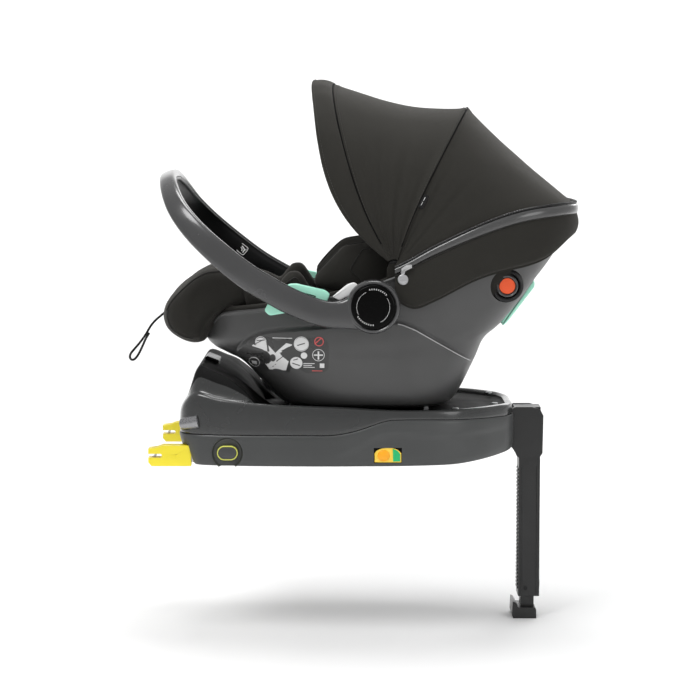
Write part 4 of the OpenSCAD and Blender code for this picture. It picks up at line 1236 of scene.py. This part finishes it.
def build_handle():
    section = [
        (-4.5, -0.84), (-4.6, -0.5), (-4.6, 0), (-4.6, 0.5), (-4.5, 0.84), (-3.6, 0.94), (-1.5, 0.995),
        (1.5, 1.0), (4.5, 0.965), (6.8, 0.87), (8.1, 0.72), (8.8, 0.52), (9.1, 0.25), (9.2, 0),
        (9.1, -0.25), (8.8, -0.52), (8.1, -0.72), (6.8, -0.87), (4.5, -0.965), (1.5, -1.0), (-1.5, -0.995),
        (-3.6, -0.94),
    ]
    parts = [loft("arm", handle_rings(handle_path(6), section), angle=50)]
    for side in (-1, 1):
        parts.append(lathe("hub", [
            (0.2, 201), (38.5, 201), (40.4, 202.4), (41, 205), (41, 213), (40.4, 216.4), (38.6, 218.7),
            (36.6, 219.2),
            (35, 218.2), (34.4, 216.5), (34.3, 212.2), (0.2, 212.2),
        ], (HUB[0], 0, HUB[1]), side, 120))
    show(joined("handle_shell_look", parts), "handle", "handle_shell")
    grip = [
        (-9.4, -0.8), (-9.9, -0.4), (-10, 0), (-9.9, 0.4), (-9.4, 0.8), (-8.2, 0.93), (-6.6, 0.98),
        (-5, 0.95),
        (-5, 0), (-5, -0.95), (-6.6, -0.98), (-8.2, -0.93),
    ]
    cover = loft("handle_cover_look", handle_rings(handle_path(40), grip, 0.86), angle=50)
    show(cover, "handle", "handle_cover")
    for side, word in ((-1, "right"), (1, "left")):
        at = (HUB[0], 0, HUB[1])
        disc = lathe("hub_button_look_" + word, [
            (0.2, 217.6), (33.4, 217.6), (33.8, 218.2), (33.3, 219.4), (32, 220.6), (30.2, 221.1),
            (20, 221.8), (0.2, 222),
        ], at, side, 120)
        show(disc, "handle_lock_" + word, "hub_button_" + word)
        # pale ring of arcs and two plain scales of even strokes
        marks = []
        for start, end in ((-64, 34), (116, 206)):
            a = np.radians(np.linspace(start, end, 40))
            path = np.stack(
                [HUB[0] + 24.8 * np.cos(a), np.full(40, side * 221.35), HUB[1] + 24.8 * np.sin(a)], axis=1
            )
            marks.append(tube("arc", path, 0.42, 6, 0.6))
        for first, count in ((44, 9), (-148, 9)):
            for k in range(count):
                a = math.radians(first + 7.2 * k)
                r = np.array([25.8, 28.2])
                path = np.stack(
                    [HUB[0] + r * math.cos(a), np.full(2, side * 221.3), HUB[1] + r * math.sin(a)], axis=1
                )
                marks.append(tube("stroke", path, 0.45, 6, 0.5, (0, 1, 0)))
        extra(joined("hub_marks_" + word, marks), "handle_lock_" + word, "black_plastic", "print_white")
    # pictogram plate on the inner cover of the far arm
    s = np.array([237.0])
    here = arm_xz(s)[0]
    ahead = arm_xz(s + 3)[0] - arm_xz(s - 3)[0]
    ahead /= np.linalg.norm(ahead)
    up = np.cross(ahead, (0.0, 1, 0))
    centre = here + (0, 198.4, 0)

    def flat(u, v, lift=0.0):
        return centre + ahead * u + up * v - np.array([0, lift, 0])

    marks = []
    square = [
        (8 * spow(math.cos(a), 0.35), 8 * spow(math.sin(a), 0.35))
        for a in np.linspace(0, 2 * math.pi, 48, endpoint=False)
    ]
    rows = [
        [flat(u * k, v * k, h) for u, v in square] for k,
        h in ((1, -0.4), (1, 0.25), (0.88, 0.25), (0.88, -0.4))
    ]
    grid = np.asarray(rows)
    marks.append(new_object("square", grid.reshape(-1, 3), grid_faces(4, 48, True, True), 60))
    for line, r in (
        ([(-4, 4), (-3, -2), (4, -4)], 0.9), ([(-1, 3), (0.5, 0), (4, -1)], 0.8),
        ([(-4.5, 0), (-5, -4.5)], 0.5)
    ):
        marks.append(tube("stroke", resample([flat(u, v, 0.1) for u, v in line], 12), r, 6, 0.5, (0, 1, 0)))
    extra(joined("handle_pictogram", marks), "handle", "black_plastic", "print_white")


# ------------------------------------------------------------------ canopy and rear cover


def zip_height(x):
    return curve(ZIP_LINE, x)


def set_blend(piece):
    """Bakes the piece's transform into its mesh."""
    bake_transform(piece)
    return piece


def dress(piece, slot, look=None):
    piece.data.materials.clear()
    piece.data.materials.append(MAT[look or slot])
    return piece


# angles across the canopy from pivot to pivot, just short of both pivots, in degrees
CROSS = np.linspace(-90, 90, 109) * 0.993


def gather(angle, cross):
    """Creases that fan out from the canopy's pivots, in mm."""
    near = smooth(0.62, 0.99, np.abs(np.sin(np.radians(cross))))
    a = np.radians(angle)
    fan = np.sin(a * 34 + 1.3) + 0.6 * np.sin(a * 57 + 0.4)
    return near * fan * 0.9 * (1 - smooth(84, 89.4, np.abs(cross)))


def front_cloth(angle, cross, drop):
    """Front panel: sags between the bows, with a few soft drag lines."""
    t = np.clip((angle - MID_ANGLE) / (FRONT_ANGLE - MID_ANGLE), 0, 1)
    p = canopy_point(angle, cross, drop)
    sides = np.abs(np.sin(np.radians(cross)))
    sag = 4 * t * (1 - t) * (3.0 * sides)
    drag = 0.8 * ripple(p, 62, 1.3) * 4 * t * (1 - t) + 0.35 * ripple(p, 21, 0.4)
    ridge = 1.6 * np.exp(-((t / 0.035) ** 2)) + 1.2 * np.exp(-(((1 - t) / 0.035) ** 2))
    move = drag + gather(angle, cross) + ridge - sag
    centre = np.array([CANOPY_X, 0, CANOPY_Z])
    out = p - centre
    out[..., 1] *= 1.6
    out /= np.linalg.norm(out, axis=-1)[..., None]
    return p + out * move[..., None]


def rear_cloth(t, drop):
    """Rear panel from the middle bow (t = 0) down to the zip (t = 1), across CROSS."""
    a = canopy_point(MID_ANGLE - 0.3, CROSS, drop)
    plan = cover_line(2.5 - drop, len(CROSS))
    b = np.column_stack([plan, zip_height(plan[:, 0]) + 7])
    p = mix(a[None], b[None], t[:, None, None])
    centre = np.array([CANOPY_X, 0, CANOPY_Z])
    out = p - centre
    out /= np.linalg.norm(out, axis=-1)[..., None]
    tt = t[:, None]
    sides = np.abs(np.sin(np.radians(CROSS)))[None]
    sag = (14 - 9 * sides) * tt * (1 - tt)
    drag = 0.8 * ripple(p, 66, 2.6) * 4 * tt * (1 - tt) + 0.35 * ripple(p, 23, 1.9)
    ridge = 1.6 * np.exp(-((tt / 0.03) ** 2))
    angle = np.degrees(np.arctan2(p[..., 2] - CANOPY_Z, p[..., 0] - CANOPY_X))
    move = drag + ridge - sag + gather(angle, np.broadcast_to(CROSS, angle.shape)) * (1 - tt)
    return p + out * move[..., None]


def build_canopy():
    # front panel, from the middle bow to the front bow
    angles = np.linspace(MID_ANGLE + 0.3, FRONT_ANGLE - 0.2, 44)
    grid_a, grid_c = np.meshgrid(angles, CROSS, indexing="ij")
    outer = front_cloth(grid_a, grid_c, 0.0)
    inner = front_cloth(grid_a, grid_c, 1.6)
    panel = dress(slab("front_panel_look", outer, inner), "canopy_cloth")
    set_blend(panel)
    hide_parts("front_panel")
    replaced.add("front_panel")

    # rear panel, from the zip to the middle bow
    t = np.linspace(0, 1, 46)
    outer = rear_cloth(t, 0.0)
    inner = rear_cloth(t, 1.6)
    panel = dress(slab("rear_panel_look", outer, inner), "canopy_cloth")
    set_blend(panel)
    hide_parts("rear_panel")
    replaced.add("rear_panel")

    # visor band in front of the front bow: padded, with a rolled front edge
    rows = np.linspace(0, 1, 26)
    reach = 6 + 21 * (1 - np.cos(np.radians(CROSS))) ** 1.85
    angle = FRONT_ANGLE + reach[None] * rows[:, None]
    cross = np.broadcast_to(CROSS, angle.shape)
    swell = 6.8 * np.sqrt(np.clip(rows * (1 - rows) * 4, 0, 1)) + 1.5 * np.exp(-(((rows - 0.9) / 0.08) ** 2))
    fold = 0.7 * ripple(canopy_point(angle, cross), 17, 3.1)
    ends = np.cos(np.radians(CROSS)) ** 0.25
    outer = canopy_point(angle, cross, 0.0)
    inner = canopy_point(angle, cross, 4.0)
    out = outer - np.array([CANOPY_X, 0, CANOPY_Z])
    out /= np.linalg.norm(out, axis=-1)[..., None]
    outer = outer + out * ((swell[:, None] + fold) * ends + 0.3)[..., None]
    band = slab("visor_band_look", outer, inner - out * (swell[:, None] * 0.5)[..., None])
    show(band, "canopy_front", "visor_band")
    # stitched seams beside both bows and along the binding
    for name, place, body in (
        ("front_seam", FRONT_ANGLE - 1.0, "canopy_front"), ("middle_seam", MID_ANGLE + 1.0, "canopy_mid"),
    ):
        line = front_cloth(np.full(len(CROSS), place), CROSS, -0.5)
        extra(stitches(name, line[5:-5], 4.6, 3.0, 0.33), body, "canopy_cloth", "thread")
    # cords on the front and middle seams; their near-black colour paints the shade in the puckered seams
    seam = canopy_point(FRONT_ANGLE + 0.2, CROSS, -1.5)
    extra(tube("front_seam_shade_cord", seam[2:-2], 1.15, 8), "canopy_front", "canopy_cloth", "painted_shade_black")
    seam = canopy_point(MID_ANGLE, CROSS, -1.6)
    extra(tube("middle_seam_shade_cord", seam[2:-2], 0.9, 8), "canopy_mid", "canopy_cloth", "painted_shade_black")
    edge_row = outer[21][4:-4] + out[21][4:-4] * 0.3
    extra(stitches("visor_stitching", edge_row, 4.6, 3.0, 0.33), "canopy_front", "canopy_cloth", "thread")
    # small sewn-in tab beside the middle seam, near side
    p = canopy_point(MID_ANGLE - 2.4, -73.5, 0.0)
    q = canopy_point(MID_ANGLE - 2.4, -68, 0.0)
    d = (q - p) / np.linalg.norm(q - p)
    n = np.array([0.1, -1, 0.15])
    n /= np.linalg.norm(n)
    wide = np.cross(d, n)
    tab = [
        [p + d * u + n * (1.8 + 0.8 * math.sin(u / 5)) + wide * v for v in (-4, -1.4, 1.4, 4)]
        for u in np.linspace(0, 22, 10)
    ]
    tab = np.asarray(tab)
    extra(slab("canopy_tab", tab + n * 0.5, tab - n * 0.5), "canopy_mid", "canopy_cloth", "black_plastic")
    bars = [
        tube("bar", resample([p + d * a + n * 2.8 + wide * v, p + d * e + n * 2.8 + wide * v], 6), 0.5, 6)
        for a, e, v in ((4, 10, -0.6), (12, 18, -0.6))
    ]
    extra(joined("canopy_tab_marks", bars), "canopy_mid", "canopy_cloth", "print_grey")

    # cover round the head end of the shell, below the zip
    plan_n = 221
    rows = np.linspace(0, 1, 30)
    outer, inner = [], []
    for t in rows:
        puff = 4.2 + 5.0 * math.sin(math.pi * min(t * 1.06, 1)) ** 0.7 - 5.2 * smooth(0.9, 1.0, t)
        line = cover_line(float(puff), plan_n)
        base = cover_line(2.0, plan_n)
        z_top = zip_height(base[:, 0]) - 4
        z_low = curve(COVER_EDGE, base[:, 0])
        p = np.column_stack([line, mix(z_top, z_low, t)])
        crease = 0.8 * ripple(p, 34, 0.9) * math.sin(math.pi * t)
        away = np.column_stack([line - base, np.zeros(plan_n)])
        away /= np.maximum(np.linalg.norm(away, axis=1), 1e-6)[:, None]
        outer.append(p + away * crease[:, None])
        inner.append(np.column_stack([cover_line(0.9, plan_n), mix(z_top, z_low, t)]))
    boot = show(slab("rear_boot_look", outer, inner), "carrier", "rear_boot")
    hem = np.array(outer[27])
    extra(
        stitches("boot_stitching", hem[3:-3] + (0, 0, 1), 4.6, 3.0, 0.33), "carrier", "canopy_cloth",
        "thread"
    )
    top = np.column_stack([cover_line(6.2, plan_n), zip_height(cover_line(2.0, plan_n)[:, 0]) - 7.4])
    extra(tube("boot_piping", top, 1.3, 8), "carrier", "canopy_cloth", "piping")

    # zip: a coated band with a line of teeth along its upper edge
    line = cover_line(2.0, plan_n)
    grow = smooth(60, 250, line[:, 0])
    profile = [
        (0.5, -5.4), (5.8, -5.4), (7.4, -4.6), (8.4, -2.4), (8.7, 0.4), (8.3, 3.2), (7.2, 5.6), (5.4, 6.3),
        (0.5, 6.3),
    ]
    rings = []
    for o, h in profile:
        plan = cover_line(o, plan_n)
        z = zip_height(line[:, 0]) + h * (0.8 + 0.55 * grow) - 0.6
        rings.append(np.column_stack([plan, z]))
    band = loft("zip_band_look", np.asarray(rings).transpose(1, 0, 2), angle=60)
    show(band, "carrier", "zip_band")
    teeth_z = zip_height(line[:, 0]) + 6.9 * (0.8 + 0.55 * grow) + 0.4
    track = np.column_stack([cover_line(5.2, plan_n), teeth_z])
    extra(tube("zip_tape", track, 1.7, 8, 1.0), "carrier", "zip_trim", "black_plastic")
    dense = resample(track, 620)
    teeth = [dense[k : k + 2] for k in range(0, 618, 3)]
    extra(
        many_tubes("zip_teeth", [resample(t, 2) + (0, 0, 0.2) for t in teeth], 1.95, 6), "carrier",
        "zip_trim", "zip_teeth"
    )


# ------------------------------------------------------------------ padding, cover and harness


def seat_ring(level, quarter, drop=0.0):
    """Ring of the seat space at a level from 0 (floor) to 3 (rim)."""
    table = np.asarray(SEAT_LEVELS, float)
    steps = np.arange(len(table))
    f, r, share, zf, zr = (float(curve(np.stack([steps, table[:, c]], axis=1), level)) for c in range(5))
    ring = half_outline(f, r, share * SHELL_HALF_W, FRONT_POWER, 3.0, quarter)
    t = (ring[:, 0] - f) / (r - f)
    z = mix(zf, zr, t)
    if level > 2:
        z = mix(mix(table[2, 3], table[2, 4], t), curve(RIM, ring[:, 0]) - 3, level - 2)
    return np.column_stack([ring, z - drop])


def make_liner():
    """Seat cover: outer side along the shell, a soft lip on the rim, then the hollow seat."""
    quarter = 80
    rings = [shell_ring(0.4, 24, quarter), shell_ring(0.4, 8, quarter)]
    rings += [shell_ring(float(v), 6.2, quarter) for v in np.linspace(1.2, 5.8, 9)]
    lip = []
    for inset, lift in (
        (6.6, 0.5), (6.8, 3.5), (8, 6.6), (10.2, 8.6), (13.2, 9.2), (16.5, 8.0), (19, 5), (20.5, 1.5)
    ):
        ring = shell_ring(6, inset, quarter)
        ring[:, 2] += lift * (0.55 + 0.45 * smooth(60, -60, ring[:, 0])) if lift > 1 else lift
        lip.append(ring)
    seat = [seat_ring(float(v), quarter, 0.0) for v in np.linspace(2.96, 0.0, 30)]
    bottom = seat[-1]
    centre = bottom.mean(axis=0)
    floor_rows = [centre + (bottom - centre) * k for k in (0.82, 0.6, 0.36, 0.12)]
    soft = np.asarray(lip + seat + floor_rows)
    middle = np.array([40.0, 0, 330])
    out = middle - soft
    out /= np.linalg.norm(out, axis=-1)[..., None]
    soft += out * (1.3 * ripple(soft, 46, 0.7) + 0.6 * ripple(soft, 17, 2.2))[..., None]
    return loft("seat_liner_look", np.concatenate([np.asarray(rings), soft]), angle=60)


FOOT = [
    [-233, 181], [-252, 182], [-272, 190], [-284, 202], [-290, 218], [-289, 234], [-280, 248],
    [-262, 266], [-240, 285], [-222, 295], [-200, 299], [-170, 297], [-148, 285], [-140, 266],
    [-142, 246], [-192, 234], [-207, 225.5], [-218, 211.5], [-230.5, 198],
]
FOOT_MID = np.array([-228.0, 240.0])


def make_foot_pad():
    """Padded foot end of the cover, hung over the front of the rim."""
    line = resample(np.asarray(FOOT + FOOT[:1], float), 73)[:-1]
    for _ in range(2):
        line = (np.roll(line, 1, axis=0) + 2 * line + np.roll(line, -1, axis=0)) / 4
    rings = []
    for s in (
        -1, -0.99, -0.965, -0.92, -0.85, -0.7, -0.45, -0.2, 0, 0.2, 0.45, 0.7, 0.85, 0.92, 0.965, 0.99, 1
    ):
        k = ((1 - abs(s) ** 5) ** 0.25 * 0.6 + 0.4) * 1.045
        p = FOOT_MID + (line - FOOT_MID) * k
        # the pad is hollowed where the feet rest
        hollow = 8 * math.cos(s * math.pi / 2) ** 2 * smooth(250, 290, p[:, 1])
        rings.append(np.column_stack([p[:, 0], np.full(len(p), s * 120), p[:, 1] - hollow]))
    return loft("foot_pad_look", rings)


def bar_section(path, half_w, half_t, count=24, power=3.0, side=0.0):
    """Rings of a flat band with soft edges along a side line of (x, z); half_w is across."""
    p = resample(path, 26)
    t = np.gradient(p, axis=0)
    t /= np.linalg.norm(t, axis=1)[:, None]
    a = np.linspace(0, 2 * math.pi, count, endpoint=False)
    rings = []
    for i in range(len(p)):
        up = np.array([-t[i, 1], t[i, 0]])
        across = half_w * spow(np.cos(a), 2 / power) + side
        over = half_t * spow(np.sin(a), 2 / power)
        rings.append(np.column_stack([p[i, 0] + up[0] * over, across, p[i, 1] + up[1] * over]))
    return rings


SHOULDER = [[-41, 158], [20, 150], [66, 151], [100, 170], [130, 202], [150, 236], [156, 252]]
PADS = [[53, 163], [89, 178], [117, 206], [138, 239], [149, 267]]


def seam_on(piece, path, radius, lift=0.5):
    """Piping laid on a finished soft piece along a rough line."""
    line = on_surface(piece, resample(path, 70), lift)
    for _ in range(3):
        line[1:-1] = (line[:-2] + 2 * line[1:-1] + line[2:]) / 4
    return tube("piping", line, radius, 8)


def build_soft():
    liner = show(make_liner(), "carrier", "seat_liner")
    # stitched line round the lip of the liner
    rim = shell_ring(6, 17.6, 80)
    rim[:, 2] += 7.6 * (0.55 + 0.45 * smooth(60, -60, rim[:, 0]))
    extra(stitches("liner_stitching", rim, 4.6, 3.0, 0.33), "carrier", "seat_cloth", "thread")

    foot = make_foot_pad()
    inflate(foot, 5.0, 7.0, 4.0)
    displace(foot, lambda p: 1.2 * ripple(p, 44, 0.3) + 0.5 * ripple(p, 16, 1.2))
    show(foot, "carrier", "foot_pad")
    seams = []
    for side in (-1, 1):
        line = [
            (-290, 236), (-284, 244), (-264, 264), (-240, 283), (-222, 293), (-198, 297), (-172, 292),
            (-158, 280)
        ]
        seams.append(seam_on(foot, [(x, side * 111, z) for x, z in line], 1.5))
        line = [(-244, 186), (-262, 190), (-278, 204), (-285, 222), (-284, 236)]
        seams.append(seam_on(foot, [(x, side * 112, z) for x, z in line], 1.1))
    extra(joined("foot_pad_piping", seams), "carrier", "seat_cloth", "piping")

    blobs = []
    for side in (-1, 1):
        for spheres in (
            [(-112, 114, 255, 16), (-86, 116, 282, 17), (-100, 110, 222, 15), (-64, 114, 258, 12)],
            [(-150, 106, 268, 20), (-132, 106, 262, 20), (-146, 104, 240, 16), (-116, 106, 250, 18)],
        ):
            blobs.append(hull_of("bolster", [(x, side * y, z, r) for x, y, z, r in spheres], 0.5))
    bolsters = joined("side_bolsters_look", blobs)
    inflate(bolsters, 5.0, 6.0, 4.0)
    displace(bolsters, lambda p: 0.8 * ripple(p, 30, 1.3) + 0.4 * ripple(p, 12, 0.2))
    show(bolsters, "carrier", "side_bolsters")
    seams = []
    for side in (-1, 1):
        line = [
            (-62, side * 128, 262), (-84, side * 132, 288), (-104, side * 130, 274),
            (-114, side * 130, 250), (-106, side * 124, 226)
        ]
        seams.append(seam_on(bolsters, line, 1.2))
        line = [
            (-168, side * 118, 262), (-152, side * 122, 286), (-130, side * 124, 280),
            (-116, side * 122, 262)
        ]
        seams.append(seam_on(bolsters, line, 1.2))
    extra(joined("bolster_piping", seams), "carrier", "seat_cloth", "piping")

    blobs = []
    for side in (-1, 1):
        wing = [
            (-44, 118, 282, 14), (-6, 122, 322, 16), (90, 124, 340, 16), (190, 118, 320, 14),
            (150, 118, 270, 14), (40, 120, 262, 14)
        ]
        blobs.append(hull_of("wing", [(x, side * y, z, r) for x, y, z, r in wing], 0.5))
    back = [
        (x, side * y, z, r) for side in (-1, 1) for x, y, z, r in ((176, 84, 262, 14), (230, 104, 322, 14))
    ]
    blobs.append(hull_of("back", back, 0.5))
    rest = joined("headrest_look", blobs)
    inflate(rest, 5.0, 6.0, 4.0)
    displace(rest, lambda p: 1.0 * ripple(p, 40, 2.3) + 0.5 * ripple(p, 15, 0.9))
    show(rest, "head_support", "headrest")
    seams = []
    for side in (-1, 1):
        line = [
            (40, side * 118, 248), (-30, side * 116, 270), (-57, side * 116, 288), (-30, side * 118, 322),
            (-10, side * 120, 338), (40, side * 122, 350), (90, side * 122, 356), (150, side * 120, 346),
            (200, side * 116, 330)
        ]
        seams.append(seam_on(rest, line, 1.5))
        line = [(30, side * 134, 272), (0, side * 134, 300), (20, side * 136, 330), (90, side * 138, 338)]
        seams.append(seam_on(rest, line, 0.9))
    extra(joined("headrest_piping", seams), "head_support", "seat_cloth", "piping")

    pads = []
    for side in (-1, 1):
        pads.append(loft("pad", bar_section(PADS, 22.6, 3.6, 28, 2.6, side * 40)))
    pads = joined("shoulder_pads_look", pads)
    inflate(pads, 4.0, 5.0, 3.0)
    show(pads, "carrier", "shoulder_pads")
    lines = []
    for side in (-1, 1):
        for y in (20.5, 59.5):
            path = resample(np.array([(x - 4, side * y, z + 5) for x, z in PADS], float), 40)
            lines.append(stitches("line", on_surface(pads, path, 0.2), 4.6, 3.0, 0.33))
    extra(joined("pad_stitching", lines), "carrier", "seat_cloth", "thread")

    straps = [
        loft("strap", bar_section(SHOULDER, 17.8, 1.1, 24, 5.0, side * 40), angle=60) for side in (-1, 1)
    ]
    straps.append(
        loft("strap", bar_section([[-108, 144], [-90, 150], [-77, 156]], 17.8, 1.1, 24, 5.0), angle=60)
    )
    show(joined("harness_straps_look", straps), "carrier", "harness_straps")

    route = resample(np.asarray(STRAP_ROUTE, float), 120)
    for _ in range(6):
        route[1:-1] = (route[:-2] + 2 * route[1:-1] + route[2:]) / 4
    loop = tube("strap_loop_look", route, 1.8, 12)
    show(loop, "carrier", "strap_loop")


# ------------------------------------------------------------------ belt guides, zip slider and leg


def side_solid(name, outline, y0, y1, edge=1.2, angle=50):
    """Solid with a side outline between two Y planes, with rounded edges."""
    line = np.asarray(outline, float)
    low, high = min(y0, y1), max(y0, y1)
    nxt, prv = np.roll(line, -1, axis=0), np.roll(line, 1, axis=0)
    d = nxt - prv
    d /= np.maximum(np.linalg.norm(d, axis=1), 1e-9)[:, None]
    area = float((line[:, 0] * nxt[:, 1] - nxt[:, 0] * line[:, 1]).sum())
    inward = np.stack([-d[:, 1], d[:, 0]], axis=1) * (1 if area > 0 else -1)
    rings = []
    for a in (0, 22, 45, 68, 90):
        r = math.radians(a)
        rings.append((edge * (1 - math.sin(r)), low + edge * (1 - math.cos(r))))
    rings += [(o, high + low - y) for o, y in rings[::-1]]
    return loft(
        name,
        [
            np.column_stack([(line + inward * o)[:, 0], np.full(len(line), y), (line + inward * o)[:, 1]])
            for o,
            y in rings
        ],
        angle=angle
    )


def rounded(outline, r=4.0, count=120):
    """Closed outline with its corners worn round."""
    line = resample(np.asarray(list(outline) + [outline[0]], float), count + 1)[:-1]
    for _ in range(int(r)):
        line = (np.roll(line, 1, axis=0) + 2 * line + np.roll(line, -1, axis=0)) / 4
    return line


def build_guides():
    hooks = []
    for side in (-1, 1):
        outer = rounded([
            (-130, 241), (-122, 233), (-48, 246), (-34, 256), (-30, 266), (-38, 272), (-82, 282),
            (-93, 281), (-118, 262),
        ], 6, 160)
        body = side_solid("guide", outer, side * (SHELL_HALF_W - 2.8), side * (SHELL_HALF_W + 8.8), 2.2)
        hole = rounded([(-112, 258), (-54, 258), (-50, 263), (-86, 273), (-96, 272)], 4, 80)
        cut(body, [side_solid("cutter", hole, side * 150, side * 220, 0.01)])
        hooks.append(body)
    show(joined("belt_guides_look", hooks), "carrier", "belt_guides")
    tabs = [
        side_solid("tab", rounded([(-27, 262), (-4, 281), (6, 284), (14, 279), (12, 270), (-16, 256)], 5, 90),
                   side * (SHELL_HALF_W + 1.2), side * (SHELL_HALF_W + 8.8), 2.0)
        for side in (-1, 1)
    ]
    show(joined("guide_tabs_look", tabs), "carrier", "guide_tabs")
    # rear guide: a raised hook that follows the back of the shell
    outline = rounded(
        [(237, 214), (240, 206), (247, 212), (290, 268), (290, 276), (287, 280), (283, 276)], 3, 120
    )
    show(side_solid("rear_belt_guide_look", outline, -61.5, 61.5, 3.0), "carrier", "rear_belt_guide")


def build_zip_pull():
    """Slider with its wire loop and round tag on the near side."""
    body = side_solid(
        "slider", rounded([(79, 299), (86, 302), (94, 306), (93, 311), (85, 310), (77, 304)], 2, 70),
        -194.6, -198.2, 1.2
    )
    ridge = side_solid(
        "ridge", rounded([(80, 302), (91, 307), (91, 309), (80, 306)], 2, 50), -198, -199.4, 0.6
    )
    show(joined("zip_slider_look", [body, ridge]), "carrier", "zip_slider")
    at = (80, 0, 288)
    disc = lathe(
        "tag",
        [
            (4.1, 194.7), (7.4, 194.7), (8.0, 195.2), (8.0, 196.2), (7.3, 196.8), (5.6, 196.4),
            (4.3, 196.8), (4.1, 196.4)
        ],
        at, -1, 48
    )
    stem = side_solid(
        "stem", rounded([(78.2, 295), (78.2, 299.6), (80, 301.6), (81.8, 299.6), (81.8, 295)], 2, 50),
        -194.8, -196.5, 0.6
    )
    a = np.linspace(0, 2 * math.pi, 33)
    loop = np.stack([80 + 2.6 * np.cos(a), np.full(33, -195.6), 299.2 + 3.2 * np.sin(a)], axis=1)
    show(joined("zip_pull_look", [disc, stem, tube("loop", loop, 0.7, 8)]), "zip_tag", "zip_pull")


def build_leg():
    """Details on the CAD leg: grooves, the toothed front strip, rivets and bracket screws."""
    teeth = []
    for z in np.arange(-30, -226, -6.0):
        teeth.append(box_object((268.4, -15, z), (270.6, 15, z + 3.4)))
    strip = joined("leg_front_strip", teeth)
    extra(strip, "leg_outer", "leg_plastic", "black_plastic")
    bevel(strip, 0.4, 2)
    grooves = []
    for side in (-1, 1):
        for x in (275.5, 299.5):
            grooves.append(box_object((x - 0.7, side * 22.6 - 0.6, -228), (x + 0.7, side * 22.6 + 0.6, -22)))
    lines = joined("leg_ribs", grooves)
    extra(lines, "leg_outer", "leg_plastic")
    bevel(lines, 0.3, 2)
    caps = []
    for side in (-1, 1):
        caps.append(
            lathe(
                "rivet", [(0.2, 22.0), (2.6, 22.0), (2.9, 22.8), (2.2, 23.3), (0.2, 23.2)], (282, 0, -220),
                side, 32
            )
        )
    extra(joined("leg_rivets", caps), "leg_outer", "leg_plastic", "black_plastic")
    spots = []
    for x, y, z in ((227, -74, 84), (165, -94, 78)):
        a = np.linspace(0, 2 * math.pi, 32, endpoint=False)
        rows = [(5.2, 0), (5.2, 1.8), (4.4, 2.6), (0.4, 2.9)]
        for side in (-1, 1):
            spots.append(
                loft(
                    "spot",
                    [
                        np.stack([x + r * np.cos(a), side * y + r * np.sin(a), np.full(32, z + h)], axis=1)
                        for r,
                        h in rows
                    ]
                )
            )
    extra(joined("deck_screws", spots), "base", "steel")


# ------------------------------------------------------------------ assembly

build_base()
build_shell()
build_handle()
build_canopy()
build_soft()
build_guides()
build_zip_pull()
build_leg()

for name in NODES:
    if name not in replaced:
        keep(name)
